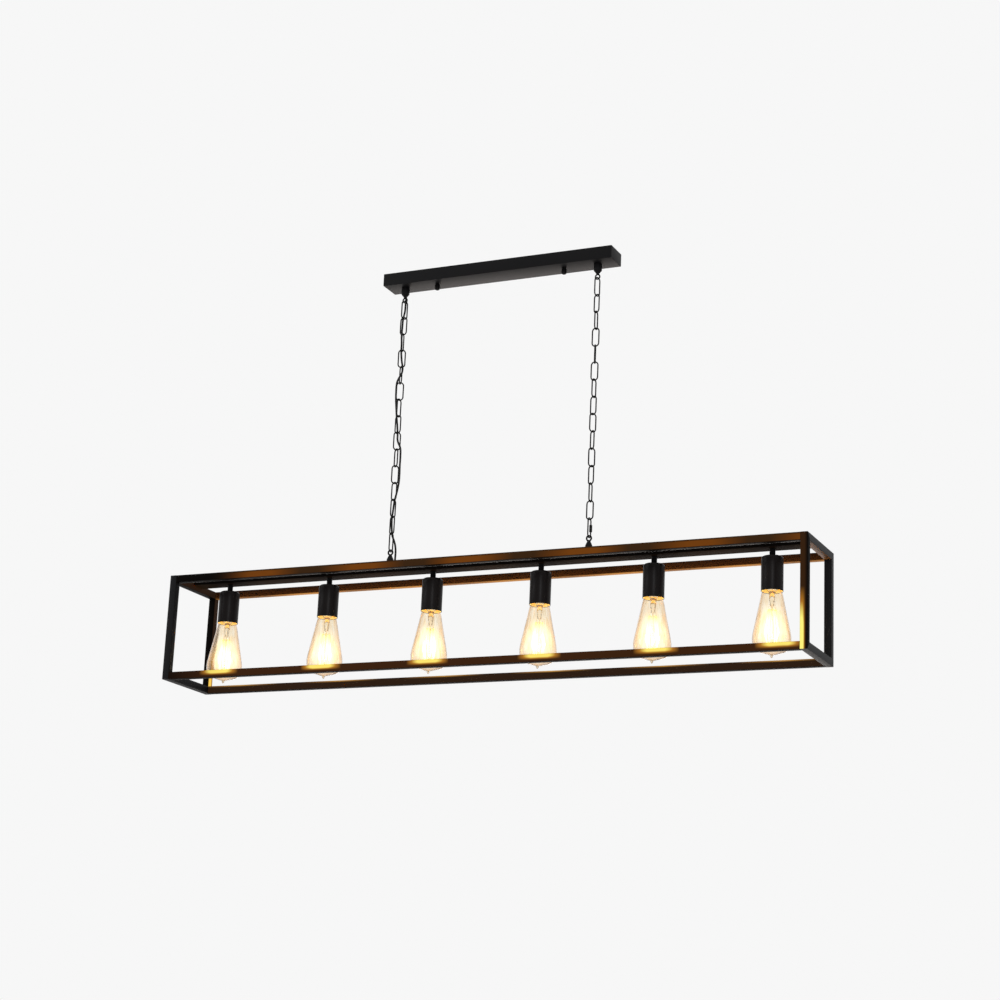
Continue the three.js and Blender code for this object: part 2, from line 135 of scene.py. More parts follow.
def mapRange(tree, value, low, high, fromLow=0.0, fromHigh=1.0):
    ranged = addNode(tree, "ShaderNodeMapRange", {
        "Value": value, "From Min": fromLow, "From Max": fromHigh, "To Min": low, "To Max": high})
    return ranged.outputs["Result"]


def mixColours(tree, share, first, second):
    mixed = addNode(tree, "ShaderNodeMix", data_type="RGBA")
    for key, value in (("Factor", share), ("A", first), ("B", second)):
        socket = next(s for s in mixed.inputs if s.name == key and s.enabled)
        if isinstance(value, bpy.types.NodeSocket):
            tree.links.new(value, socket)
        else:
            socket.default_value = (*value, 1) if hasattr(value, "__len__") else value
    return next(s for s in mixed.outputs if s.enabled)


def mathValue(tree, operation, first, second=0.0, third=0.0):
    node = addNode(tree, "ShaderNodeMath", operation=operation)
    for socket, value in zip(node.inputs, (first, second, third)):
        if isinstance(value, bpy.types.NodeSocket):
            tree.links.new(value, socket)
        else:
            socket.default_value = value
    return node.outputs[0]


def addBump(tree, shader, height, strength, distance):
    bump = addNode(tree, "ShaderNodeBump", {
        "Height": height, "Strength": strength, "Distance": distance})
    tree.links.new(bump.outputs["Normal"], shader.inputs["Normal"])


# Colour and roughness that each follow a pattern
def paint(tree, shader, look, colourPattern, roughnessPattern):
    colour = mixColours(tree, colourPattern, look["dark"], look["light"])
    tree.links.new(colour, shader.inputs["Base Color"])
    tree.links.new(mapRange(tree, roughnessPattern, *look["roughness"]), shader.inputs["Roughness"])


# Black powder coat, a fine satin orange peel. A bump is its strength, then its distance
powderCoat = {
    "dark": (0.0030, 0.0031, 0.0040),
    "light": (0.0062, 0.0058, 0.0060),
    "patchScale": 9,
    "peelScale": 900,
    "roughness": (0.46, 0.58),
    "specular": 0.10,
    "bump": (0.25, 0.0002),
}

satinCoat = powderCoat | {
    "dark": (0.0040, 0.0029, 0.0030),
    "light": (0.0085, 0.0060, 0.0056),
    "roughness": (0.30, 0.38),
    "specular": 0.09,
}

railCoat = powderCoat | {
    "dark": (0.0022, 0.0016, 0.0013),
    "light": (0.0046, 0.0034, 0.0028),
    "specular": 0.015,
}

barCoat = railCoat | {"specular": 0.004}


def makePowderCoat(name, coat, paintedLight=None):
    finish, tree, shader = newFinish(name)
    point = objectPoint(tree)
    peel = noiseValue(tree, point, coat["peelScale"])
    paint(tree, shader, coat, noiseValue(tree, point, coat["patchScale"], detail=4), peel)
    shader.inputs["Specular IOR Level"].default_value = coat["specular"]
    addBump(tree, shader, peel, *coat["bump"])
    if paintedLight:
        addPaintedLampLight(tree, shader, paintedLight)
    return finish


# The lamps' warm light, painted as a glow on one face of a member: a dim brown, and brighter patches
# along it.
# A height is counted from the top of the frame
# Painted lamp light on the near top rail's front face, brightest midway between the lamps
topPaintedLampLight = {
    "face": ("Y", -1),                  # the face that is lit
    "base": (0.036, 0.015, 0.004),      # colour between the patches
    "ember": (0.090, 0.027, 0.003),     # at the edge of a patch
    "patch": (0.150, 0.042, 0.003),     # in its middle
    "along": "X",
    "centre": 0.0,                      # of one patch; 0 is midway between two lamps
    "halfWidth": (0.012, 0.085),        # where a patch starts to fade, and where it ends
    "fade": ("X", -0.52, -0.42),        # where the light starts, and where it is full
    "across": ("Z", -0.0012, -0.0042),  # the same for the patches alone
}

# Painted lamp glow on the near bottom rail's front face, bright beside each lamp
bottomPaintedLampLight = {
    "face": ("Y", -1),
    "base": (0.040, 0.013, 0.003),
    "ember": (0.42, 0.17, 0.02),
    "patch": (1.0, 0.80, 0.16),
    "along": "X",
    "centre": 0.1385,                   # beside each lamp
    "halfWidth": (0.015, 0.040),
    "fade": ("X", -0.62, -0.47),
    "across": ("Z", -0.1895, -0.1825),
}

# Painted lamp light on the far top rail's underside
farTopPaintedLampLight = {
    "face": ("Z", -1),
    "base": (0.19, 0.090, 0.024),
    "ember": (0.30, 0.135, 0.030),
    "patch": (0.42, 0.19, 0.04),
    "along": "X",
    "centre": 0.02,
    "halfWidth": (0.012, 0.085),
    "fade": ("X", -0.70, -0.40),
    "across": ("X", -0.70, -0.60),
}

# Painted lamp light on the far bottom rail's front face, near its top edge, in patches along it
farBottomPaintedLampLight = {
    "face": ("Y", -1),
    "base": (0.024, 0.011, 0.005),
    "ember": (0.25, 0.12, 0.03),
    "patch": (0.55, 0.30, 0.07),
    "along": "X",
    "centre": 0.1035,
    "halfWidth": (0.0, 0.080),
    "fade": ("X", -0.70, -0.60),
    "across": ("Z", -0.1825, -0.1795),
}

# Painted lamp glow on the right near post's front face, brightest near the lamps' height
postPaintedLampLight = {
    "face": ("Y", -1),
    "base": (0.032, 0.012, 0.003),
    "ember": (0.40, 0.16, 0.015),
    "patch": (1.0, 0.90, 0.20),
    "along": "Z",
    "centre": -0.176,
    "halfWidth": (0.026, 0.086),
    "fade": ("X", 0.60, 0.593),
    "across": ("X", 0.597, 0.591),
}

# Painted lamp light on the inner face of the left far post and left top bar
leftPostPaintedLampLight = {
    "face": ("X", 1),
    "base": (0.020, 0.009, 0.004),
    "ember": (0.35, 0.13, 0.02),
    "patch": (0.95, 0.60, 0.10),
    "along": "Z",
    "centre": -0.182,
    "halfWidth": (0.008, 0.070),
    "fade": ("X", -0.62, -0.61),
    "across": ("Y", 0.0745, 0.0690),
}

# Painted lamp light on the lamp bar's underside
barPaintedLampLight = {
    "face": ("Z", -1),
    "base": (0.004, 0.002, 0.001),
    "ember": (0.009, 0.005, 0.002),
    "patch": (0.014, 0.007, 0.003),
    "along": "X",
    "centre": 0.0,
    "halfWidth": (0.012, 0.085),
    "fade": ("X", -0.70, -0.60),
    "across": ("X", -0.70, -0.60),
}


# What the faces with painted lamp light have in common
paintedLampLight = {
    "cloudScale": 14,
    "cloudNoise": (0.3, 0.7),
    "cloudShares": (1.0, 1.35),
    "turned": (0.6, 0.97),   # of the normal towards the lit side, where the light starts and is full
    "emberStop": 0.5,
}


def frameTop():
    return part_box("near_top_rail")[1].z


# How far a place lies from start to end along an axis, from 0 to 1
def shareAlong(tree, places, axis, start, end):
    base = frameTop() if axis == "Z" else 0.0
    share = addNode(tree, "ShaderNodeMapRange", {
        "Value": places[axis], "From Min": base + start, "From Max": base + end},
        interpolation_type="SMOOTHSTEP")
    return share.outputs["Result"]


# Paints the lamps' light on one face of a member as an emission glow
def addPaintedLampLight(tree, shader, paintedLight):
    point = objectPoint(tree)
    places = addNode(tree, "ShaderNodeSeparateXYZ", {"Vector": point}).outputs
    if paintedLight["along"] == "X":
        half = (boxCentre("stem_2").x - boxCentre("stem_1").x) / 2
        along = mathValue(tree, "SUBTRACT", places["X"], paintedLight["centre"])
        away = mathValue(tree, "PINGPONG", along, half)
    else:
        along = mathValue(tree, "SUBTRACT", places["Z"], frameTop() + paintedLight["centre"])
        away = mathValue(tree, "ABSOLUTE", along)
    patch = mapRange(tree, away, 1, 0, *paintedLight["halfWidth"])
    cloud = noiseValue(tree, point, paintedLampLight["cloudScale"])
    cloud = mapRange(tree, cloud, *paintedLampLight["cloudShares"], *paintedLampLight["cloudNoise"])
    patch = mathValue(tree, "MULTIPLY", patch, cloud)
    patch = mathValue(tree, "MULTIPLY", patch, shareAlong(tree, places, *paintedLight["across"]))
    ramp = addNode(tree, "ShaderNodeValToRGB", {"Fac": patch})
    stops = ramp.color_ramp.elements
    stops.new(paintedLampLight["emberStop"])
    for stop, key in zip(stops, ("base", "ember", "patch")):
        stop.color = (*paintedLight[key], 1)
    normal = addNode(tree, "ShaderNodeTexCoord").outputs["Normal"]
    axis, sign = paintedLight["face"]
    facing = addNode(tree, "ShaderNodeSeparateXYZ", {"Vector": normal}).outputs[axis]
    turned = mapRange(tree, facing, 0, 1, *(sign * share for share in paintedLampLight["turned"]))
    lit = mathValue(tree, "MULTIPLY", turned, shareAlong(tree, places, *paintedLight["fade"]))
    colour = mixColours(tree, lit, (0.0, 0.0, 0.0), ramp.outputs["Color"])
    tree.links.new(colour, shader.inputs["Emission Color"])
    shader.inputs["Emission Strength"].default_value = 1.0


# Other finishes
wireLook = {
    "dark": (0.002, 0.002, 0.002),
    "light": (0.005, 0.005, 0.005),
    "cloudScale": 60,
    "grainScale": 1400,
    "roughness": (0.34, 0.50),
    "specular": 0.1,
    "bump": (0.15, 0.0001),
}


def makeLacqueredWire(name):
    finish, tree, shader = newFinish(name)
    point = objectPoint(tree)
    grain = noiseValue(tree, point, wireLook["grainScale"])
    paint(tree, shader, wireLook, noiseValue(tree, point, wireLook["cloudScale"], detail=3), grain)
    shader.inputs["Specular IOR Level"].default_value = wireLook["specular"]
    addBump(tree, shader, grain, *wireLook["bump"])
    return finish


zincLook = {
    "dark": (0.42, 0.43, 0.45),
    "light": (0.66, 0.67, 0.68),
    "spangleScale": 120,
    "scratchScale": 720,
    "roughness": (0.24, 0.42),
    "bump": (0.1, 0.0001),
}

brassLook = {
    "dark": (0.6, 0.38, 0.12),
    "light": (0.83, 0.6, 0.25),
    "spangleScale": 80,
    "scratchScale": 480,
    "roughness": (0.18, 0.34),
    "bump": (0.1, 0.0001),
}

# Brass round the neck of a lamp that is alight, with the lamp's light on it painted as a glow
litBrassLook = brassLook | {"lit": ((0.80, 0.54, 0.10), (1.0, 0.88, 0.34))}


def makeMetal(name, look):
    finish, tree, shader = newFinish(name)
    point = objectPoint(tree)
    spangle = noiseValue(tree, point, look["spangleScale"], detail=5)
    paint(tree, shader, look, spangle, spangle)
    shader.inputs["Metallic"].default_value = 1.0
    addBump(tree, shader, noiseValue(tree, point, look["scratchScale"], detail=3), *look["bump"])
    # The lamp's light on the brass, painted as an emission glow
    if "lit" in look:
        tree.links.new(mixColours(tree, spangle, *look["lit"]), shader.inputs["Emission Color"])
        shader.inputs["Emission Strength"].default_value = 1.0
    return finish


porcelainLook = {
    "dark": (0.72, 0.68, 0.58),
    "light": (0.86, 0.83, 0.74),
    "speckleScale": 350,
    "waveScale": 90,
    "roughness": (0.16, 0.30),
    "glaze": 0.4,
    "glazeRoughness": 0.08,
    "bump": (0.1, 0.0003),
}


def makePorcelain(name):
    finish, tree, shader = newFinish(name)
    point = objectPoint(tree)
    speckle = noiseValue(tree, point, porcelainLook["speckleScale"], detail=4)
    paint(tree, shader, porcelainLook, speckle, speckle)
    shader.inputs["Coat Weight"].default_value = porcelainLook["glaze"]
    shader.inputs["Coat Roughness"].default_value = porcelainLook["glazeRoughness"]
    waves = noiseValue(tree, point, porcelainLook["waveScale"])
    addBump(tree, shader, waves, *porcelainLook["bump"])
    return finish


nylonLook = {
    "dark": (0.011, 0.011, 0.012),
    "light": (0.02, 0.02, 0.02),
    "cloudScale": 70,
    "grainScale": 1600,
    "roughness": (0.50, 0.68),
    "bump": (0.2, 0.0001),
}


def makeBlackNylon(name):
    finish, tree, shader = newFinish(name)
    point = objectPoint(tree)
    grain = noiseValue(tree, point, nylonLook["grainScale"], detail=3)
    paint(tree, shader, nylonLook, noiseValue(tree, point, nylonLook["cloudScale"]), grain)
    addBump(tree, shader, grain, *nylonLook["bump"])
    return finish


braidLook = {
    "dark": (0.004, 0.004, 0.004),
    "light": (0.020, 0.019, 0.019),
    "scale": 3.0,
    "slant": 45,   # degrees, of the strands
    "roughness": 0.85,
    "specular": 0.25,
    "sheen": 0.1,
    "bump": (0.5, 0.0003),
}


def makeBraid(name):
    finish, tree, shader = newFinish(name)
    around = addNode(tree, "ShaderNodeUVMap").outputs["UV"]
    waves = []
    for turn in (-1, 1):
        slanted = addNode(tree, "ShaderNodeMapping", {
            "Vector": around, "Rotation": (0, 0, math.radians(braidLook["slant"] * turn))})
        wave = addNode(tree, "ShaderNodeTexWave", {
            "Vector": slanted.outputs["Vector"], "Scale": braidLook["scale"]})
        waves.append(wave.outputs["Fac"])
    weave = mathValue(tree, "MAXIMUM", *waves)
    tree.links.new(mixColours(tree, weave, braidLook["dark"], braidLook["light"]),
                   shader.inputs["Base Color"])
    shader.inputs["Roughness"].default_value = braidLook["roughness"]
    shader.inputs["Specular IOR Level"].default_value = braidLook["specular"]
    shader.inputs["Sheen Weight"].default_value = braidLook["sheen"]
    addBump(tree, shader, weave, *braidLook["bump"])
    return finish


# The lamps' light passes straight through glass
def clearForShadows(tree, shader, colour):
    clear = addNode(tree, "ShaderNodeBsdfTransparent", {"Color": (*colour, 1)})
    isShadow = addNode(tree, "ShaderNodeLightPath").outputs["Is Shadow Ray"]
    mixed = addNode(tree, "ShaderNodeMixShader", {"Fac": isShadow})
    tree.links.new(shader.outputs["BSDF"], mixed.inputs[1])
    tree.links.new(clear.outputs["BSDF"], mixed.inputs[2])
    tree.links.new(mixed.outputs["Shader"], tree.nodes["Material Output"].inputs["Surface"])


# Lamp glass: thin, amber where it is seen edge on, with the filament's light painted on it as a glow
lampGlass = {
    "front": (1.0, 0.95, 0.85),
    "streak": (0.95, 0.79, 0.55),
    "edge": (0.84, 0.54, 0.30),
    "streakScale": (210, 210, 26),
    "streakShares": (0.45, 0.75),
    "edgeShares": (0.25, 0.85),   # of the edge colour, face on and edge on
    "index": 1.46,
    "bump": (0.12, 0.0006),
    "shadow": (1.0, 0.95, 0.85),
    "glow": (1.0, 0.68, 0.24),
    "glowMost": 0.50,
    "glowTop": 0.030,             # below the top of the glass
    "glowMiddle": 0.073,
    "glowBottom": 0.104,
    "glowPower": 1.4,
    "glowFacing": (0.02, 0.29),
}


def glassTop():
    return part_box("bulb_glass_1")[1].z


def heightOf(tree, point):
    return addNode(tree, "ShaderNodeSeparateXYZ", {"Vector": point}).outputs["Z"]


def makeLampGlass(name):
    finish, tree, shader = newFinish(name)
    point = objectPoint(tree)
    drawn = addNode(tree, "ShaderNodeMapping", {"Vector": point, "Scale": lampGlass["streakScale"]})
    streaks = noiseValue(tree, drawn.outputs["Vector"], scale=1, detail=3)
    streaks = mapRange(tree, streaks, 0, 1, *lampGlass["streakShares"])
    facing = addNode(tree, "ShaderNodeLayerWeight", {"Blend": 0.5}).outputs["Facing"]
    body = mixColours(tree, streaks, lampGlass["front"], lampGlass["streak"])
    edgeOn = mapRange(tree, facing, 0, 1, *lampGlass["edgeShares"])
    tree.links.new(mixColours(tree, edgeOn, body, lampGlass["edge"]), shader.inputs["Base Color"])
    shader.inputs["Transmission Weight"].default_value = 1.0
    shader.inputs["Roughness"].default_value = 0.0
    shader.inputs["IOR"].default_value = lampGlass["index"]
    addBump(tree, shader, streaks, *lampGlass["bump"])
    # Painted glow of the filament's light: strongest at its height and where the glass is seen face on
    height = heightOf(tree, point)
    top, middle, bottom = (glassTop() - lampGlass[key] for key in ("glowTop", "glowMiddle", "glowBottom"))
    rising = mapRange(tree, height, 0, 1, bottom, middle)
    falling = mapRange(tree, height, 1, 0, middle, top)
    tall = mathValue(tree, "MULTIPLY", rising, falling)
    tall = mathValue(tree, "POWER", tall, lampGlass["glowPower"])
    centred = mapRange(tree, facing, 1, 0, *lampGlass["glowFacing"])
    glow = mathValue(tree, "MULTIPLY", mathValue(tree, "MULTIPLY", tall, centred), lampGlass["glowMost"])
    tree.links.new(mixColours(tree, glow, (0.0, 0.0, 0.0), lampGlass["glow"]),
                   shader.inputs["Emission Color"])
    shader.inputs["Emission Strength"].default_value = 1.0
    clearForShadows(tree, shader, lampGlass["shadow"])
    return finish


mountGlass = {
    "dark": (1.0, 0.97, 0.9),
    "light": (0.97, 0.93, 0.84),
    "cloudScale": 160,
    "roughness": (0.0, 0.06),
}


def makeClearGlass(name):
    finish, tree, shader = newFinish(name)
    cloud = noiseValue(tree, objectPoint(tree), mountGlass["cloudScale"], detail=3)
    paint(tree, shader, mountGlass, cloud, cloud)
    shader.inputs["Transmission Weight"].default_value = 1.0
    clearForShadows(tree, shader, (1.0, 1.0, 1.0))
    return finish


# The cage of hot wire in a lamp. Heights are counted down from the top of the glass
filament = {
    "strands": 12,
    "wire": 0.0004,
    "wireSides": 8,
    "topRadius": 0.0065,
    "middleRadius": 0.0115,
    "bottomRadius": 0.006,
    "top": 0.042,
    "middle": 0.080,
    "bottom": 0.106,
    "hotAbove": 0.006,       # the hottest stretch, on both sides of the middle
    "hotBelow": 0.004,
    "cold": (0.2, 0.1, 0.05),
    "unevenScale": 500,
    "uneven": (0.85, 1.1),
}

lampLight = {
    "filament": 5.0,         # strength of its glow, bright in the middle and dim at its ends
    "bright": (1.0, 0.78, 0.42),
    "dim": (0.30, 0.13, 0.03),
    "power": 22.0,           # watts, of the light in each lamp
    "colour": (1.0, 0.42, 0.09),
    "radius": 0.012,
    "drop": 0.079,           # below the top of the glass
}


def makeHotFilament(name):
    finish, tree, shader = newFinish(name)
    point = objectPoint(tree)
    height = heightOf(tree, point)
    top, middle, bottom = (glassTop() - filament[key] for key in ("top", "middle", "bottom"))
    rising = mapRange(tree, height, 0, 1, bottom, middle - filament["hotBelow"])
    falling = mapRange(tree, height, 1, 0, middle + filament["hotAbove"], top)
    uneven = mapRange(tree, noiseValue(tree, point, filament["unevenScale"]), *filament["uneven"])
    heat = mathValue(tree, "MULTIPLY", mathValue(tree, "MULTIPLY", rising, falling), uneven)
    tree.links.new(mixColours(tree, heat, lampLight["dim"], lampLight["bright"]),
                   shader.inputs["Emission Color"])
    shader.inputs["Base Color"].default_value = (*filament["cold"], 1)
    shader.inputs["Emission Strength"].default_value = lampLight["filament"]
    return finish


coatPlain = makePowderCoat("powderCoatBlack", powderCoat)
coatSatin = makePowderCoat("powderCoatSatin", satinCoat)
# Copies of the rail and bar coats, each with the lamps' light painted on one face as a glow
coatTopRailPaintedLight = makePowderCoat("powderCoatTopRailPaintedLight", railCoat, topPaintedLampLight)
coatBottomRailPaintedLight = makePowderCoat("powderCoatBottomRailPaintedLight", railCoat, bottomPaintedLampLight)
coatFarTopRailPaintedLight = makePowderCoat("powderCoatFarTopRailPaintedLight", railCoat, farTopPaintedLampLight)
coatFarBottomRailPaintedLight = makePowderCoat("powderCoatFarBottomRailPaintedLight", railCoat, farBottomPaintedLampLight)
coatRightPostPaintedLight = makePowderCoat("powderCoatRightPostPaintedLight", railCoat, postPaintedLampLight)
coatLeftPostPaintedLight = makePowderCoat("powderCoatLeftPostPaintedLight", railCoat, leftPostPaintedLampLight)
coatLampBarPaintedLight = makePowderCoat("powderCoatLampBarPaintedLight", barCoat, barPaintedLampLight)
lacquer = makeLacqueredWire("lacqueredWire")
zinc = makeMetal("zincPlate", zincLook)
brass = makeMetal("rolledBrass", brassLook)
litBrass = makeMetal("lampLitBrass", litBrassLook)
porcelain = makePorcelain("glazedPorcelain")
nylon = makeBlackNylon("blackNylon")
braid = makeBraid("braidedJacket")
amberGlass = makeLampGlass("amberLampGlass")
clearGlass = makeClearGlass("clearMountGlass")
hotFilament = makeHotFilament("hotFilament")
print("finishes made")


# Mesh building blocks
near = {"merge": 1e-6, "cut": 1e-7}


def vertsSince(bm, before):
    return [v for v in bm.verts if v not in before]


def edgesOf(verts):
    return {e for v in verts for e in v.link_edges}


def facesOf(verts):
    return {f for v in verts for f in v.link_faces}


def linkToScene(item):
    bpy.context.scene.collection.objects.link(item)


def finishPiece(bm, name, body, finish, replaced=(), sharpAngle=32):
    bmesh.ops.remove_doubles(bm, verts=bm.verts, dist=near["merge"])
    bmesh.ops.dissolve_degenerate(bm, edges=bm.edges, dist=near["cut"])
    bmesh.ops.recalc_face_normals(bm, faces=bm.faces)
    for edge in bm.edges:
        edge.smooth = len(edge.link_faces) == 2 and edge.calc_face_angle() < math.radians(sharpAngle)
    for face in bm.faces:
        face.smooth = True
    mesh = bpy.data.meshes.new(name)
    bm.to_mesh(mesh)
    bm.free()
    mesh.materials.append(finish)
    piece = bpy.data.objects.new(name, mesh)
    linkToScene(piece)
    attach(piece, body)
    if replaced:
        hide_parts(*replaced)
    return piece


# An outline of radii and heights, turned round a vertical axis
def turnOutline(bm, outline, steps, centre, joined=False):
    x, y = centre
    verts = [bm.verts.new((x + radius, y, height)) for radius, height in outline]
    edges = [bm.edges.new(pair) for pair in zip(verts, verts[1:])]
    if joined:
        edges.append(bm.edges.new((verts[-1], verts[0])))
    before = set(bm.verts) - set(verts)
    bmesh.ops.spin(bm, geom=verts + edges, cent=(x, y, 0), axis=(0, 0, 1), angle=2 * math.pi,
                   steps=steps, use_merge=True, use_duplicate=False)
    bmesh.ops.remove_doubles(bm, verts=vertsSince(bm, before), dist=near["merge"])


def softenEdges(bm, width, segments=2, least=30, chosen=None):
    edges = [e for e in bm.edges if len(e.link_faces) == 2
             and e.calc_face_angle() > math.radians(least) and (chosen is None or chosen(e))]
    bmesh.ops.bevel(bm, geom=edges, offset=width, offset_type="OFFSET", affect="EDGES",
                    segments=segments, profile=0.5, material=-1, clamp_overlap=True)


def addBlock(bm, low, high):
    low, high = Vector(low), Vector(high)
    size = Matrix.Diagonal((*(high - low), 1))
    bmesh.ops.create_cube(bm, size=1, matrix=Matrix.Translation((low + high) / 2) @ size)


def closeHoles(bm):
    openEdges = [e for e in bm.edges if len(e.link_faces) == 1]
    bmesh.ops.holes_fill(bm, edges=openEdges, sides=0)


# A helical thread: a zigzag swept round while it climbs one pitch, then cut level
def addThread(bm, radius, depth, pitch, low, high, steps, centre):
    x, y = centre
    turns = math.ceil((high - low) / pitch) + 2
    zigzag = []
    for turn in range(turns + 1):
        base = low - 1.5 * pitch + turn * pitch
        zigzag.append(bm.verts.new((x + radius - depth, y, base)))
        if turn < turns:
            zigzag.append(bm.verts.new((x + radius, y, base + pitch / 2)))
    edges = [bm.edges.new(pair) for pair in zip(zigzag, zigzag[1:])]
    before = set(bm.verts) - set(zigzag)
    bmesh.ops.spin(bm, geom=zigzag + edges, cent=(x, y, 0), axis=(0, 0, 1),
                   dvec=(0, 0, pitch / steps), angle=2 * math.pi, steps=steps,
                   use_merge=False, use_duplicate=False)
    bmesh.ops.remove_doubles(bm, verts=vertsSince(bm, before), dist=near["merge"])
    for level, outward in ((low, (0, 0, -1)), (high, (0, 0, 1))):
        kept = vertsSince(bm, before)
        bmesh.ops.bisect_plane(bm, geom=kept + list(edgesOf(kept)) + list(facesOf(kept)),
                               dist=near["cut"], plane_co=(0, 0, level), plane_no=outward,
                               clear_outer=True)
    closeHoles(bm)


# A closed ring of round wire in the XZ plane, centred on the origin and stretched along Z
def addWireRing(bm, bendRadius, stretch, wire, sides, arcSteps):
    start = set(bm.verts)
    made = bmesh.ops.create_circle(bm, segments=sides, radius=wire,
                                   matrix=Matrix.Translation((bendRadius, 0, 0)))
    bmesh.ops.spin(bm, geom=made["verts"] + list(edgesOf(made["verts"])), cent=(0, 0, 0),
                   axis=(0, 1, 0), angle=2 * math.pi, steps=2 * arcSteps, use_merge=True,
                   use_duplicate=False)
    bmesh.ops.remove_doubles(bm, verts=vertsSince(bm, start), dist=near["merge"])
    for sign in (-1, 1):
        half = [v for v in vertsSince(bm, start) if v.co.z * sign > 10 * near["merge"]]
        bmesh.ops.translate(bm, verts=half, vec=(0, 0, sign * stretch))
    return vertsSince(bm, start)


# An oval link bent from one length of round wire, whose ends leave a small gap
def addOpenLink(bm, bendRadius, stretch, wire, sides, arcSteps, gap):
    made = bmesh.ops.create_circle(bm, cap_ends=True, segments=sides, radius=wire,
                                   matrix=Matrix.Translation((bendRadius, 0, gap / 2)))
    end = made["verts"][0].link_faces[0]
    end = pushFace(bm, end, (0, 0, stretch - gap / 2))
    end = turnFace(bm, end, (0, 0, stretch), arcSteps)
    end = pushFace(bm, end, (0, 0, -2 * stretch))
    end = turnFace(bm, end, (0, 0, -stretch), arcSteps)
    pushFace(bm, end, (0, 0, stretch - gap / 2))


# A face that an extrusion has left inside the wire
def dropInnerFace(bm, face):
    if face.is_valid and any(len(e.link_faces) > 2 for e in face.edges):
        bmesh.ops.delete(bm, geom=[face], context="FACES_ONLY")


def pushFace(bm, face, move):
    made = bmesh.ops.extrude_face_region(bm, geom=[face])
    verts = [g for g in made["geom"] if isinstance(g, bmesh.types.BMVert)]
    bmesh.ops.translate(bm, verts=verts, vec=move)
    dropInnerFace(bm, face)
    return next(g for g in made["geom"] if isinstance(g, bmesh.types.BMFace))


def turnFace(bm, face, centre, steps):
    made = bmesh.ops.spin(bm, geom=[face, *face.edges, *face.verts], cent=centre, axis=(0, -1, 0),
                          angle=math.pi, steps=steps, use_merge=False, use_duplicate=False)
    dropInnerFace(bm, face)
    return next(g for g in made["geom_last"] if isinstance(g, bmesh.types.BMFace))


# Turn about the vertical, then set in place
def placeVerts(bm, verts, turnDegrees, place):
    matrix = Matrix.Translation(place) @ Matrix.Rotation(math.radians(turnDegrees), 4, "Z")
    bmesh.ops.transform(bm, matrix=matrix, verts=verts)


# Chains of oval wire links
chains = {
    "count": 15,
    "wire": 0.0012,
    "bend": 0.0061,        # centre of the wire, from the middle of the link
    "endPlay": 0.0009,     # added to the inner length of the first and last links
    "nest": 0.0002,        # taken off the inner length of the others
    "gap": 0.0004,         # butt joint in the wire
    "sides": 12,
    "arcSteps": 12,
    # Degrees that each link is turned about the vertical, from the top down. The offset is for all
    "turnOffset": 25,
    "left": [38, -24, 76, 0, -70, 0, 60, -38, 20, -62, 20, -45, 51, -51, 62],
    "right": [43, -50, 64, -23, 81, -23, 55, -43, 30, -64, 30, -50, 64, -30, 64],
}


# Where a chain hangs, its first hinge and the pitch of its links
def chainPlace(side):
    first, last = boxCentre(f"top_link_{side}"), boxCentre(f"bottom_link_{side}")
    pitch = (first.z - last.z) / (chains["count"] - 1)
    return first.x, first.z + pitch / 2, pitch


# Cord, in stretches that each bend at one joint of the chain
millimetre = 0.001

cord = {
    "radius": 0.0018,
    "bevelResolution": 5,   # which gives 14 sides
    "spacing": 0.0016,      # between the points along it
    "clear": 0.0003,        # beyond the gland and above the grommet
    "lead": 0.003,          # first bend, above the middle between the gland and the first hinge
    "turn": 25,             # degrees, the side and front directions of the route
    # Links below the first hinge, then millimetres sideways and frontways of the chain
    "route": [
        (0, 1, -9), (0.49, 0.5, -8.2), (1, -2.1, -8), (1.49, -2.6, -8.2), (2, -3, -8),
        (2.5, -2.2, -8.2), (3, -2, -8), (3.54, -0.2, -8.2), (3.9, 2, -7.8), (4.22, 2.2, -4),
        (4.45, 0.5, -1.5), (4.64, -2.5, -1.2), (4.84, -5.5, -3.2), (5.03, -6.8, -4.6),
        (5.52, -7, -5), (6, -6.4, -5.2), (6.49, -5, -6.4), (7, -3.4, -7.4), (7.5, -1.4, -8.2),
        (8, 0, -8), (8.18, 0.3, -5.2), (8.41, 0.8, -1.5), (8.64, 3, 1), (8.83, 5.8, 2.6),
        (9.06, 7.5, 2.9), (9.51, 7.9, 2.4), (10, 7.8, 2.1), (10.52, 8.1, 2), (11, 7.6, 1.4),
        (11.49, 5, -3), (12, 1.4, -7.9), (12.5, 0, -8.4), (13, -1.4, -8), (13.51, -1, -8.6),
        (14, 0.8, -9.2), (14.32, 4.5, -9), (14.64, 7.4, -6), (15, 8.8, -2), (15.43, 8.9, 2),
        (15.83, 8.6, 4),
    ],
    # Name, links below the first hinge where it ends, its bodies and the CAD node that it replaces.
    # The last one goes on to the end
    "stretches": [
        ("cordTop", 0.49, ("canopy", "left_top_link"), ("cord_upper",)),
        ("cordUpper", 2, ("left_top_link", "left_chain"), ()),
        ("cordMiddle", 13.34, ("left_chain",), ("cord_lower",)),
        ("cordLower", 14.5, ("left_chain", "left_bottom_link"), ()),
        ("cordEnd", 99, ("left_bottom_link", "cage"), ()),
    ],
}


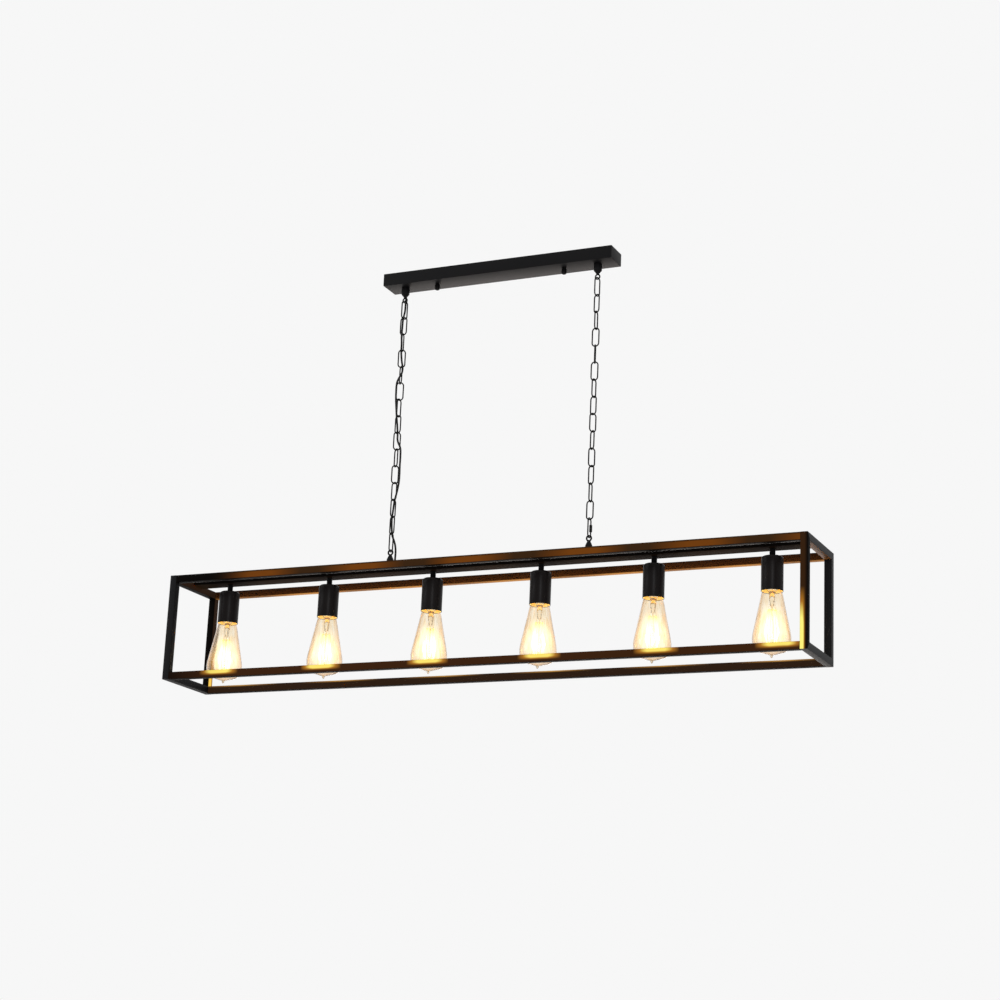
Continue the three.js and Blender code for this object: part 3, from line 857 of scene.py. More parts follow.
# A smooth curve through the points, as a line of points about one spacing apart
def smoothPath(points, spacing):
    path = []
    for i in range(len(points) - 1):
        before, start = points[max(i - 1, 0)], points[i]
        end, after = points[i + 1], points[min(i + 2, len(points) - 1)]
        steps = max(1, round((end - start).length / spacing))
        for step in range(steps):
            t = step / steps
            path.append(0.5 * (2 * start + (end - before) * t
                               + (2 * before - 5 * start + 4 * end - after) * t ** 2
                               + (3 * start - before - 3 * end + after) * t ** 3))
    return path + [points[-1]]


# From the gland down the chain, in and out of its links, to the grommet
def cordPath(chainX, firstHinge, pitch):
    turn = math.radians(cord["turn"])
    side = millimetre * Vector((math.cos(turn), math.sin(turn), 0))
    front = millimetre * Vector((math.sin(turn), -math.cos(turn), 0))
    gland, grommet = boxCentre("cord_gland"), boxCentre("cord_grommet")
    start = Vector((gland.x, gland.y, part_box("cord_gland")[0].z - cord["clear"]))
    end = Vector((grommet.x, grommet.y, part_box("cord_grommet")[1].z + cord["clear"]))
    below = Vector((gland.x, gland.y, (start.z + firstHinge) / 2 + cord["lead"]))
    beside = [Vector((chainX, 0, firstHinge - links * pitch)) + side * s + front * f
              for links, s, f in cord["route"]]
    return smoothPath([start, below, *beside, end], cord["spacing"])


def makeCord():
    chainX, firstHinge, pitch = chainPlace("left")
    path = cordPath(chainX, firstHinge, pitch)
    first = 0
    for name, links, bodies, replaced in cord["stretches"]:
        last = first
        while last < len(path) - 1 and path[last].z > firstHinge - links * pitch:
            last += 1
        line = path[first:last + 1]
        piece = makeStretch(name, line)
        if len(bodies) == 2:
            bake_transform(piece)
        else:
            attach(piece, bodies[0])
        if replaced:
            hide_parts(*replaced)
        first = last


def makeStretch(name, line):
    data = bpy.data.curves.new(name, "CURVE")
    data.dimensions = "3D"
    data.bevel_depth = cord["radius"]
    data.bevel_resolution = cord["bevelResolution"]
    data.use_fill_caps = True
    spline = data.splines.new("POLY")
    spline.points.add(len(line) - 1)
    for point, place in zip(spline.points, line):
        point.co = (*place, 1)
    curve = bpy.data.objects.new(name + "Curve", data)
    linkToScene(curve)
    bpy.context.view_layer.update()
    mesh = bpy.data.meshes.new_from_object(curve)
    bpy.data.objects.remove(curve)
    mesh.materials.append(braid)
    for face in mesh.polygons:
        face.use_smooth = True
    piece = bpy.data.objects.new(name, mesh)
    linkToScene(piece)
    return piece


makeCord()
print("cord made")


connector = {
    "radius": 0.0026,
    "length": 0.0125,
    "edge": 0.0004,
    "steps": 24,
}


def makeLinks():
    for side in ("left", "right"):
        x, firstHinge, pitch = chainPlace(side)
        for index, turn in enumerate(chains[side]):
            outer = index in (0, chains["count"] - 1)
            inner = pitch + (chains["endPlay"] if outer else -chains["nest"])
            stretch = inner / 2 - (chains["bend"] - chains["wire"])
            bm = bmesh.new()
            addOpenLink(bm, chains["bend"], stretch, chains["wire"], chains["sides"],
                        chains["arcSteps"], chains["gap"])
            if side == "right" and index == chains["count"] - 1:
                addSleeve(bm)
            place = (x, 0, firstHinge - (index + 0.5) * pitch)
            placeVerts(bm, bm.verts[:], turn + chains["turnOffset"], place)
            if index == 0:
                body, replaced = f"{side}_top_link", (f"top_link_{side}",)
            elif index == chains["count"] - 1:
                body, replaced = f"{side}_bottom_link", (f"bottom_link_{side}",)
            else:
                body, replaced = f"{side}_chain", (f"chain_{side}",) if index == 1 else ()
            finishPiece(bm, f"{side}Link{index + 1:02d}", body, lacquer, replaced)


# The sleeve of an opening link, over the gap in its wire
def addSleeve(bm):
    inner, outer, half = chains["wire"], connector["radius"], connector["length"] / 2
    start = set(bm.verts)
    turnOutline(bm, [(inner, -half), (outer, -half), (outer, half), (inner, half)],
                connector["steps"], (chains["bend"], 0), joined=True)
    sleeve = edgesOf(vertsSince(bm, start))
    softenEdges(bm, connector["edge"], least=40, chosen=lambda e: e in sleeve)


makeLinks()
print("chains made")


# Canopy: a folded tray with welded corners, open to the ceiling
canopyTray = {
    "wall": 0.0012,
    "edge": 0.0007,
    "rimEdge": 0.00024,
}


def makeCanopy():
    low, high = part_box("canopy_cover")
    wall = canopyTray["wall"]
    bm = bmesh.new()
    addBlock(bm, low, high)
    top = max(bm.faces, key=lambda f: f.calc_center_median().z)
    bmesh.ops.inset_region(bm, faces=[top], thickness=wall, use_even_offset=True)
    made = bmesh.ops.extrude_face_region(bm, geom=[top])
    verts = [g for g in made["geom"] if isinstance(g, bmesh.types.BMVert)]
    if top.is_valid:
        bmesh.ops.delete(bm, geom=[top], context="FACES_ONLY")
    bmesh.ops.translate(bm, verts=verts, vec=(0, 0, low.z - high.z + wall))
    softenEdges(bm, canopyTray["edge"], segments=3, chosen=lambda e: not isRim(e, high.z))
    softenEdges(bm, canopyTray["rimEdge"], segments=2, chosen=lambda e: isRim(e, high.z))
    finishPiece(bm, "canopyTray", "canopy", coatPlain, ("canopy_cover",))


def isRim(edge, level):
    return all(abs(v.co.z - level) < near["merge"] for v in edge.verts)


makeCanopy()

# Ceiling strap, kept from the frame, in zinc plate
strap = frame["nodes"]["ceiling_bracket"]
strap.data.materials.clear()
strap.data.materials.append(zinc)


# Studs, nuts and loops of the canopy
fasteners = {
    "steps": 36,
    "threadPitch": 0.0008,
    "threadDepth": 0.0004,
    "threadSteps": 16,
    "shankShare": 2.3 / 4.5,  # of the radius of a stud's head
    "headHeight": 0.003,
    "headSink": 0.0002,       # of the thread in the head
    "headEdge": 0.0007,
    "slotLength": 0.012,
    "slotWidth": 0.0009,
    "slotDepth": 0.0014,
    "nutBore": 0.0043,
    "nutEdge": 0.0005,
    "knurls": 44,
    "knurlDepth": 0.0003,
    "knurlInset": 0.00008,
    "knurlArea": 1e-6,        # square metres; every knurl has more
    "dome": 0.0022,
    # Outline of a cap nut's dome, as shares of its radius and of the dome
    "domeShares": [(0.6, 1 / 11), (0.9, 0.45), (1, 1)],
    "capTop": 0.001,
    "capTopShare": 0.86,
}


def makeStud(side):
    node = f"mounting_stud_{side}"
    low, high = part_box(node)
    x = boxCentre(node).x
    r = (high.x - low.x) / 2
    headBottom = high.z - fasteners["headHeight"]
    bm = bmesh.new()
    addThread(bm, r * fasteners["shankShare"], fasteners["threadDepth"], fasteners["threadPitch"],
              low.z, headBottom + fasteners["headSink"], fasteners["threadSteps"], (x, 0))
    finishPiece(bm, f"studThread{side.title()}", "canopy", zinc, (node,))
    bm = bmesh.new()
    turnOutline(bm, [(0, headBottom), (r, headBottom), (r, high.z), (0, high.z)],
                fasteners["steps"], (x, 0))
    softenEdges(bm, fasteners["headEdge"], segments=3)
    head = finishPiece(bm, f"studHead{side.title()}", "canopy", zinc)
    cutSlot(head, (x, 0, high.z), fasteners["slotLength"], fasteners["slotWidth"],
            fasteners["slotDepth"])


# A screwdriver slot along X, cut with a block that is thrown away afterwards
def cutSlot(piece, place, length, width, depth):
    reach = Vector((length / 2, width / 2, depth))
    bm = bmesh.new()
    addBlock(bm, Vector(place) - reach, Vector(place) + reach)
    mesh = bpy.data.meshes.new("slotTool")
    bm.to_mesh(mesh)
    bm.free()
    tool = bpy.data.objects.new("slotTool", mesh)
    linkToScene(tool)
    applyBoolean(piece, tool, "DIFFERENCE")


# Cut a tool out of a piece or join it on, then throw the tool away
def applyBoolean(piece, tool, operation):
    cutter = piece.modifiers.new("cutter", "BOOLEAN")
    cutter.object = tool
    cutter.operation = operation
    cutter.solver = "EXACT"
    bpy.context.view_layer.update()
    shown = piece.evaluated_get(bpy.context.evaluated_depsgraph_get())
    mesh = bpy.data.meshes.new_from_object(shown)
    piece.modifiers.clear()
    finish = piece.data.materials[0]
    piece.data = mesh
    mesh.materials.clear()
    mesh.materials.append(finish)
    for face in mesh.polygons:
        face.material_index = 0
    bpy.data.objects.remove(tool)


def makeHexNut(side):
    node = f"loop_nut_{side}"
    low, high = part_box(node)
    bore, corner = fasteners["nutBore"], (high.x - low.x) / 2
    bm = bmesh.new()
    turnOutline(bm, [(bore, low.z), (corner, low.z), (corner, high.z), (bore, high.z)], 6,
                (boxCentre(node).x, 0), joined=True)
    softenEdges(bm, fasteners["nutEdge"], segments=2)
    finishPiece(bm, f"loopNut{side.title()}", "canopy", zinc, (node,))


def makeKnurledNut(side):
    node = f"cap_nut_{side}"
    low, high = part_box(node)
    x = boxCentre(node).x
    r = (high.x - low.x) / 2 - fasteners["knurlDepth"]
    dome = [(r * a, low.z + fasteners["dome"] * b) for a, b in fasteners["domeShares"]]
    bm = bmesh.new()
    turnOutline(bm, [(0, low.z), *dome, (r, high.z - fasteners["capTop"]),
                     (r * fasteners["capTopShare"], high.z), (0, high.z)],
                fasteners["knurls"], (x, 0))
    sides = [f for f in bm.faces if abs(f.normal.z) < 0.2 and f.calc_area() > fasteners["knurlArea"]]
    sides.sort(key=lambda f: math.atan2(*(f.calc_center_median() - Vector((x, 0, 0))).yx))
    bmesh.ops.recalc_face_normals(bm, faces=bm.faces)
    bmesh.ops.inset_individual(bm, faces=sides[::2], thickness=fasteners["knurlInset"],
                               depth=fasteners["knurlDepth"])
    finishPiece(bm, f"knurledNut{side.title()}", f"{side}_cap_nut", coatPlain,
                (node,), sharpAngle=50)


loops = {
    "steps": 40,
    "edge": 0.0006,
    "seatGap": 0.0002,        # between the collar and what it stands on
    "neckShare": 1.9,         # of the wire, at the eye
    "coneShare": 2.3,         # of the wire, at the top of the cone
    "neckHeight": 0.002,
    "eyeSides": 16,
    "eyeSteps": 20,
    "canopy": {"wire": 0.0013, "bend": 0.0041, "stretch": 0.0002, "collar": 0.0074,
               "collarHeight": 0.012, "shank": 0.004, "sink": 0.0011},
    "bar": {"wire": 0.0015, "bend": 0.0043, "stretch": 0.0001, "collar": 0.0062,
            "collarHeight": 0.022, "shank": 0.004, "sink": 0.0011},
}


# A loop: shank, collar, cone and eye in one piece. Direction is -1 where the eye hangs down
def makeLoop(side, kind, body, node, direction):
    sizes = loops[kind]
    wire, collar, shank = sizes["wire"], sizes["collar"], sizes["shank"]
    low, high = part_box(node)
    x = boxCentre(node).x
    eyeEnd, shankEnd = (low.z, high.z) if direction < 0 else (high.z, low.z)
    halfEye = direction * (sizes["stretch"] + sizes["bend"] + wire)
    under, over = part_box("canopy_cover")[0].z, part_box("lamp_bar")[1].z
    seat = (under if direction < 0 else over) + direction * loops["seatGap"]
    coneFoot = seat + direction * sizes["collarHeight"]
    neck = eyeEnd - 2 * halfEye + direction * sizes["sink"]
    coneTop = neck - direction * loops["neckHeight"]
    bm = bmesh.new()
    turnOutline(bm, [(0, neck), (wire * loops["neckShare"], neck), (wire * loops["coneShare"], coneTop),
                     (collar, coneFoot), (collar, seat), (shank, seat), (shank, shankEnd),
                     (0, shankEnd)], loops["steps"], (x, 0))
    softenEdges(bm, loops["edge"], segments=3, least=18)
    piece = finishPiece(bm, f"{kind}Loop{side.title()}", body, coatPlain, (node,))
    bm = bmesh.new()
    verts = addWireRing(bm, sizes["bend"], sizes["stretch"], wire, loops["eyeSides"],
                        loops["eyeSteps"])
    placeVerts(bm, verts, 0, (x, 0, eyeEnd - halfEye))
    eye = finishPiece(bm, "eyeTool", body, coatPlain)
    applyBoolean(piece, eye, "UNION")


for sideName in ("left", "right"):
    makeStud(sideName)
    makeHexNut(sideName)
    makeKnurledNut(sideName)
    makeLoop(sideName, "canopy", "canopy", f"canopy_loop_{sideName}", -1)
    makeLoop(sideName, "bar", "cage", f"bar_loop_{sideName}", 1)
print("canopy and loops made")


# Terminal block: a porcelain body with a brass barrel and screw for each wire
terminal = {
    "ways": 3,
    "groove": 0.0016,
    "grooveDepth": 0.0008,
    "edge": 0.0004,
    "screw": 0.0022,
    "screwSteps": 28,
    "screwStand": 0.0012,     # out of the body
    "screwSink": 0.004,       # into it
    "slotLength": 0.00528,
    "slotWidth": 0.0007,
    "slotDepth": 0.0009,
    "barrel": 0.0023,
    "barrelBore": 0.0012,
    "barrelStand": 0.0015,
    "barrelSteps": 24,
}


def makeTerminalBody(low, high, pitch):
    groove = terminal["groove"]
    bm = bmesh.new()
    addBlock(bm, low, high)
    for way in range(1, terminal["ways"]):
        x = low.x + way * pitch
        for offset in (-groove / 2, groove / 2):
            bmesh.ops.bisect_plane(bm, geom=bm.verts[:] + bm.edges[:] + bm.faces[:],
                                   dist=near["cut"], plane_co=(x + offset, 0, 0), plane_no=(1, 0, 0))
    bmesh.ops.recalc_face_normals(bm, faces=bm.faces)
    outer = [f for f in bm.faces if f.normal.z < -0.9 or abs(f.normal.y) > 0.9]
    grooves = [f for f in outer if min(e.calc_length() for e in f.edges) < 1.5 * groove
               and f.calc_area() < 0.5 * pitch * (high.z - low.z)]
    bmesh.ops.inset_individual(bm, faces=grooves, thickness=0.0, depth=-terminal["grooveDepth"])
    softenEdges(bm, terminal["edge"], segments=2, least=40)
    finishPiece(bm, "terminalBody", "canopy", porcelain, ("terminal_block",))


def makeTerminalScrew(way, x, level):
    r, foot, top = terminal["screw"], level - terminal["screwStand"], level + terminal["screwSink"]
    bm = bmesh.new()
    turnOutline(bm, [(0, foot), (r, foot), (r, top), (0, top)], terminal["screwSteps"], (x, 0))
    softenEdges(bm, terminal["edge"], segments=2)
    screw = finishPiece(bm, f"terminalScrew{way}", "canopy", brass)
    cutSlot(screw, (x, 0, foot), terminal["slotLength"], terminal["slotWidth"], terminal["slotDepth"])


def makeTerminalBarrel(name, place):
    bore, r, length = terminal["barrelBore"], terminal["barrel"], 2 * terminal["barrelStand"]
    bm = bmesh.new()
    turnOutline(bm, [(bore, 0), (r, 0), (r, length), (bore, length)], terminal["barrelSteps"],
                (0, 0), joined=True)
    tilt = Matrix.Rotation(math.radians(90), 4, "X")
    bmesh.ops.transform(bm, matrix=Matrix.Translation(place) @ tilt, verts=bm.verts)
    finishPiece(bm, name, "canopy", brass)


def makeTerminal():
    low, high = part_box("terminal_block")
    pitch = (high.x - low.x) / terminal["ways"]
    makeTerminalBody(low, high, pitch)
    for way in range(1, terminal["ways"] + 1):
        x = low.x + (way - 0.5) * pitch
        makeTerminalScrew(way, x, low.z)
        for end, y in (("Near", low.y), ("Far", high.y)):
            makeTerminalBarrel(f"terminalBarrel{end}{way}",
                               (x, y + terminal["barrelStand"], (low.z + high.z) / 2))


makeTerminal()


# Cord gland and grommet
entry = {
    "steps": 36,
    "boreGap": 0.0001,        # round the cord
    "lip": 0.0007,
    # Outline of the gland's dome and flange: a share of its radius, then a height above its mouth
    "glandDome": [(0.72, 0.0035), (0.8, 0.004), (1, 0.0042), (1, 0.006)],
    "glandShank": 0.0028,
    "glandEdge": 0.0003,
    "grommetShank": 0.0022,
    "seatGap": 0.0001,
    "flange": 0.0015,
    "collar": 0.0005,
    "grommetEdge": 0.0004,
}


def makeGland():
    low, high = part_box("cord_gland")
    centre = boxCentre("cord_gland")
    r = (high.x - low.x) / 2
    bore, shank = cord["radius"] + entry["boreGap"], entry["glandShank"]
    dome = [(r * share, low.z + height) for share, height in entry["glandDome"]]
    bm = bmesh.new()
    turnOutline(bm, [(bore, low.z), (bore + entry["lip"], low.z), *dome, (shank, dome[-1][1]),
                     (shank, high.z), (bore, high.z)], entry["steps"], centre.xy, joined=True)
    softenEdges(bm, entry["glandEdge"], segments=2)
    finishPiece(bm, "cordGland", "canopy", nylon, ("cord_gland",))


def makeGrommet():
    low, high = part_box("cord_grommet")
    centre = boxCentre("cord_grommet")
    r = (high.x - low.x) / 2
    bore, shank = cord["radius"] + entry["boreGap"], entry["grommetShank"]
    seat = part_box("lamp_bar")[1].z + entry["seatGap"]
    bm = bmesh.new()
    turnOutline(bm, [(bore, low.z), (shank, low.z), (shank, seat), (r, seat),
                     (r, seat + entry["flange"]), (bore + entry["collar"], high.z), (bore, high.z)],
                entry["steps"], centre.xy, joined=True)
    softenEdges(bm, entry["grommetEdge"], segments=3)
    finishPiece(bm, "cordGrommet", "cage", nylon, ("cord_grommet",))


makeGland()
makeGrommet()
print("terminal block, gland and grommet made")


# Frame of square tube
tube = {
    "corner": 0.0009,
    "cornerSegments": 3,
    "mitreGap": 0.00012,
    "barCorner": 0.0003,
    "sharpAngle": 20,
}


# A straight tube as it is seen from outside, with its long edges rounded and its ends closed
def addTube(bm, low, high, corner, axis="x"):
    start = set(bm.verts)
    addBlock(bm, low, high)
    index = "xyz".index(axis)
    long = [e for e in edgesOf(vertsSince(bm, start))
            if abs((e.verts[0].co - e.verts[1].co).normalized()[index]) > 0.9]
    bmesh.ops.bevel(bm, geom=long, offset=corner, offset_type="OFFSET", affect="EDGES",
                    segments=tube["cornerSegments"], profile=0.5, material=-1)


def finishMember(bm, name, finish, replaced):
    finishPiece(bm, name, "cage", finish, replaced,
                sharpAngle=tube["sharpAngle"])


# A member that runs from one end frame to the other
def makeLongMember(node, name, finish, corner):
    low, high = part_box(node)
    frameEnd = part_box("left_end_frame")[1].x
    low.x, high.x = frameEnd, -frameEnd
    bm = bmesh.new()
    addTube(bm, low, high, corner)
    finishMember(bm, name, finish, (node,))


def cutMember(bm, point, outward):
    made = bmesh.ops.bisect_plane(bm, geom=bm.verts[:] + bm.edges[:] + bm.faces[:], dist=near["cut"],
                                  plane_co=point, plane_no=outward, clear_outer=True)
    cut = [g for g in made["geom_cut"] if isinstance(g, bmesh.types.BMEdge)]
    bmesh.ops.holes_fill(bm, edges=cut, sides=0)


# End frame members whose coat has the lamps' light painted on one face
litMembers = {"rightNearPost": coatRightPostPaintedLight, "leftFarPost": coatLeftPostPaintedLight, "leftTopBar": coatLeftPostPaintedLight}


# Four short tubes, mitred where they meet
def makeEndFrame(side):
    node = f"{side}_end_frame"
    low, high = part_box(node)
    size = high.x - low.x
    members = [
        ("TopBar", "y", (low.x, low.y, high.z - size), (high.x, high.y, high.z)),
        ("BottomBar", "y", (low.x, low.y, low.z), (high.x, high.y, low.z + size)),
        ("NearPost", "z", (low.x, low.y, low.z), (high.x, low.y + size, high.z)),
        ("FarPost", "z", (low.x, high.y - size, low.z), (high.x, high.y, high.z)),
    ]
    middle = (low + high) / 2
    for name, axis, start, end in members:
        bm = bmesh.new()
        addTube(bm, start, end, tube["corner"], axis)
        centre = (Vector(start) + Vector(end)) / 2
        for sign in (-1, 1):
            if axis == "y":
                upper = centre.z > middle.z
                point = Vector((0, high.y if sign > 0 else low.y, high.z if upper else low.z))
                outward = Vector((0, sign, -1 if upper else 1))
            else:
                far = centre.y > middle.y
                point = Vector((0, high.y if far else low.y, high.z if sign > 0 else low.z))
                outward = Vector((0, -1 if far else 1, sign))
            outward.normalize()
            cutMember(bm, point - outward * tube["mitreGap"] / 2, outward)
        finishMember(bm, side + name, litMembers.get(side + name, coatPlain),
                     (node,) if name == "TopBar" else ())


makeLongMember("near_top_rail", "nearTopRail", coatTopRailPaintedLight, tube["corner"])
makeLongMember("far_top_rail", "farTopRail", coatFarTopRailPaintedLight, tube["corner"])
makeLongMember("near_bottom_rail", "nearBottomRail", coatBottomRailPaintedLight, tube["corner"])
makeLongMember("far_bottom_rail", "farBottomRail", coatFarBottomRailPaintedLight, tube["corner"])
for sideName in ("left", "right"):
    makeEndFrame(sideName)
makeLongMember("lamp_bar", "lampBar", coatLampBarPaintedLight, tube["barCorner"])
print("frame made")


# Lampholders and lamps
holder = {
    "steps": 56,
    "stemPitch": 0.001,
    "stemDepth": 0.0003,
    "stemSteps": 24,
    "stemHole": 0.0052,
    "coverWall": 0.0012,
    "shoulder": 0.0045,
    "shoulderSteps": 6,
    "rim": 0.0004,
    "linerGap": 0.0001,
    "linerWall": 0.0004,
    "linerSet": 0.0007,       # up from the cover's mouth
    "linerHeight": 0.0105,
    "bore": 0.0136,
    "boreDepth": 0.020,
    "shell": 0.00025,
    "shellGap": 0.00005,
    "lip": 0.0004,            # of the shell, below the porcelain
    "lipWall": 0.0003,
    "lipInset": 0.0012,
    "edge": 0.0005,
    "topEdge": 0.002,
    "socket": 0.0053,         # for the stem
    "socketDepth": 0.008,
    "contact": 0.006,
    "contactHeight": 0.001,
    "contactSink": 0.0002,
    "contactEdge": 0.0003,
    "contactSteps": 32,
}


def makeStem(number):
    node = f"stem_{number}"
    low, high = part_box(node)
    bm = bmesh.new()
    addThread(bm, (high.x - low.x) / 2, holder["stemDepth"], holder["stemPitch"], low.z, high.z,
              holder["stemSteps"], (boxCentre(node).x, 0))
    finishPiece(bm, f"stemThread{number}", "cage", coatPlain, (node,))


# A quarter of a circle from level to upright, as points of an outline
def quarterArc(radius, height, bend, steps):
    angles = [math.radians(90 * step / steps) for step in range(steps + 1)]
    return [(radius + bend * math.sin(a), height + bend * math.cos(a)) for a in angles]


def makeCover(number):
    node = f"socket_cover_{number}"
    low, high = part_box(node)
    x = boxCentre(node).x
    r = (high.x - low.x) / 2
    wall, shoulder, hole = holder["coverWall"], holder["shoulder"], holder["stemHole"]
    outer = quarterArc(r - shoulder, high.z - shoulder, shoulder, holder["shoulderSteps"])
    inner = quarterArc(r - shoulder, high.z - shoulder, shoulder - wall, holder["shoulderSteps"])
    bm = bmesh.new()
    turnOutline(bm, [(r - wall, low.z), (r, low.z), *outer[::-1], (hole, high.z),
                     (hole, high.z - wall), *inner], holder["steps"], (x, 0), joined=True)
    softenEdges(bm, holder["rim"], segments=2, least=60)
    finishPiece(bm, f"cover{number}", "cage", coatSatin, (node,))
    # A brass liner in the cover's mouth, with the lamp's light on it painted as a glow
    outside = r - wall - holder["linerGap"]
    inside = outside - holder["linerWall"]
    foot, top = low.z + holder["linerSet"], low.z + holder["linerHeight"]
    bm = bmesh.new()
    turnOutline(bm, [(inside, foot), (outside, foot), (outside, top), (inside, top)],
                holder["steps"], (x, 0), joined=True)
    finishPiece(bm, f"coverLiner{number}", "cage", litBrass)


# A porcelain body, with a brass shell that laps over its mouth and a brass contact
def makeHolder(number):
    node = f"lampholder_{number}"
    low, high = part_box(node)
    x = boxCentre(node).x
    r = (high.x - low.x) / 2
    boreTop = low.z + holder["boreDepth"]
    bore, inside = holder["bore"] + holder["shell"], holder["bore"]
    socketFloor = high.z - holder["socketDepth"]
    bm = bmesh.new()
    turnOutline(bm, [(bore, low.z), (r, low.z), (r, high.z - holder["topEdge"]),
                     (r - holder["topEdge"], high.z), (holder["socket"], high.z),
                     (holder["socket"], socketFloor), (0, socketFloor)], holder["steps"], (x, 0))
    turnOutline(bm, [(0, boreTop), (bore, boreTop), (bore, low.z)], holder["steps"], (x, 0))
    softenEdges(bm, holder["edge"], segments=2, least=40)
    finishPiece(bm, f"holderBody{number}", "cage", porcelain, (node,))
    # The brass shell, with the lamp's light on it painted as a glow
    lip, rim = low.z - holder["lip"], r - holder["lipInset"]
    lipTop, outside = lip + holder["lipWall"], bore - holder["shellGap"]
    bm = bmesh.new()
    turnOutline(bm, [(inside, boreTop), (inside, lipTop), (inside + holder["lipWall"], lip),
                     (rim, lip), (rim, lipTop), (outside, lipTop), (outside, boreTop)],
                holder["steps"], (x, 0), joined=True)
    finishPiece(bm, f"holderShell{number}", "cage", litBrass)
    foot = boreTop - holder["contactSink"]
    top = foot + holder["contactHeight"]
    bm = bmesh.new()
    turnOutline(bm, [(0, foot), (holder["contact"], foot), (holder["contact"], top), (0, top)],
                holder["contactSteps"], (x, 0))
    softenEdges(bm, holder["contactEdge"], segments=2)
    finishPiece(bm, f"holderContact{number}", "cage", brass)


lamp = {
    "count": 6,
    "steps": 48,
    "capRadius": 0.0131,
    "threadPitch": 0.0036,
    "threadDepth": 0.0009,
    "threadStart": 0.002,
    "threadSteps": 40,
    "skirt": 0.0021,          # height of the plain ring below the thread
    "skirtEdge": (0.0002, 0.0006),
    "coneHeight": 0.005,
    "coneInset": 0.0012,
    "coneEdge": (0.0006, 0.001),
    "contact": 0.0045,
    "contactSeat": 0.0008,    # below the end of the cap
    "seatEdge": (0.001, 0.0004),
    "contactHeight": 0.001,
    "contactEdge": (0.0006, 0.0002),
    "contactTip": 0.0015,
    "contactSteps": 32,
    "neckInset": 0.0014,
    "neckSink": 0.003,
    "wall": 0.0008,
    "outlineSteps": 60,
    # Outline of the glass, as shares of its radius and of its length
    "outlineShares": [(0.44, 0.075), (0.54, 0.125), (0.68, 0.31), (0.86, 0.55), (0.97, 0.7),
                      (1, 0.78), (0.95, 0.88), (0.76, 0.94), (0.4, 0.975)],
    "tipRadius": 0.0026,
    "tipLength": 0.005,
    # Outline of the drawn tip, as shares of its radius and of its length
    "tipShares": [(1.25, 0.95), (0.9, 0.9), (0.75, 0.4), (0.45, 0.1), (0, 0)],
}


def lampBody(number):
    return f"bulb_{number}"


def makeCap(number):
    node = f"bulb_cap_{number}"
    low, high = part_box(node)
    centre = (boxCentre(node).x, 0)
    r, body = lamp["capRadius"], lampBody(number)
    cone, skirt = high.z - lamp["coneHeight"], low.z + lamp["skirt"]
    inwards, upwards = lamp["skirtEdge"]
    bm = bmesh.new()
    addThread(bm, r, lamp["threadDepth"], lamp["threadPitch"], low.z + lamp["threadStart"], cone,
              lamp["threadSteps"], centre)
    turnOutline(bm, [(0, low.z), (r - inwards, low.z), (r, low.z + upwards), (r, skirt), (0, skirt)],
                lamp["steps"], centre)
    finishPiece(bm, f"lampCap{number}", body, brass, (node,))
    foot, seat, contact = r - lamp["coneInset"], high.z - lamp["contactSeat"], lamp["contact"]
    inwards, upwards = lamp["coneEdge"]
    outwards, downwards = lamp["seatEdge"]
    bm = bmesh.new()
    turnOutline(bm, [(0, cone), (foot, cone), (foot - inwards, cone + upwards),
                     (contact + outwards, seat - downwards), (contact, seat), (0, seat)],
                lamp["steps"], centre)
    finishPiece(bm, f"lampInsulator{number}", body, nylon)
    base = high.z - lamp["contactHeight"]
    inwards, downwards = lamp["contactEdge"]
    bm = bmesh.new()
    turnOutline(bm, [(0, base), (contact, base), (contact - inwards, high.z - downwards),
                     (lamp["contactTip"], high.z), (0, high.z)], lamp["contactSteps"], centre)
    finishPiece(bm, f"lampContact{number}", body, zinc)


# An outline smoothed in about so many steps
def curvedOutline(points, steps):
    flat = [Vector((radius, 0, height)) for radius, height in points]
    spacing = sum((b - a).length for a, b in zip(flat, flat[1:])) / steps
    return [(max(p.x, 0), p.z) for p in smoothPath(flat, spacing)]


def makeGlass(number):
    node = f"bulb_glass_{number}"
    low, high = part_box(node)
    r = (high.x - low.x) / 2
    tip, tipLength = lamp["tipRadius"], lamp["tipLength"]
    length = high.z - low.z - tipLength
    neck = lamp["capRadius"] - lamp["neckInset"]
    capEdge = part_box(f"bulb_cap_{number}")[0].z
    outline = [(neck, capEdge + lamp["neckSink"]), (neck, capEdge)]
    outline += [(r * a, high.z - length * b) for a, b in lamp["outlineShares"]]
    outline += [(tip * a, low.z + tipLength * b) for a, b in lamp["tipShares"]]
    bm = bmesh.new()
    turnOutline(bm, curvedOutline(outline, lamp["outlineSteps"]), lamp["steps"],
                (boxCentre(node).x, 0))
    bmesh.ops.recalc_face_normals(bm, faces=bm.faces)
    bmesh.ops.solidify(bm, geom=bm.faces[:], thickness=lamp["wall"])
    finishPiece(bm, f"lampGlass{number}", lampBody(number), amberGlass, (node,),
                sharpAngle=60)


# Glass mount inside the lamp, with its lead wires, and the cage of filament round it
mount = {
    "steps": 24,
    "flare": 0.0095,
    "flareHeight": 0.006,
    "flareFoot": 0.00546,
    "tube": 0.0042,
    "pinch": 0.0028,
    "pinchTaper": 0.003,
    "top": 0.007,             # below the top of the glass, and so on down
    "pinchTop": 0.027,
    "pinchBottom": 0.035,
    "rod": 0.001,
    "rodBottom": 0.104,
    "bead": 0.0022,
    "beadTop": 0.004,         # above the bottom of the rod
    "beadMiddle": 0.002,
    "beadEnd": 0.00154,
    "edge": 0.0003,
    "lead": 0.00035,
    "leadSides": 8,
    "leadSpread": 0.00168,    # of the two leads, where they leave the pinch
    "spokes": 6,
    "spoke": 0.0002,
    "spokeSides": 6,
}


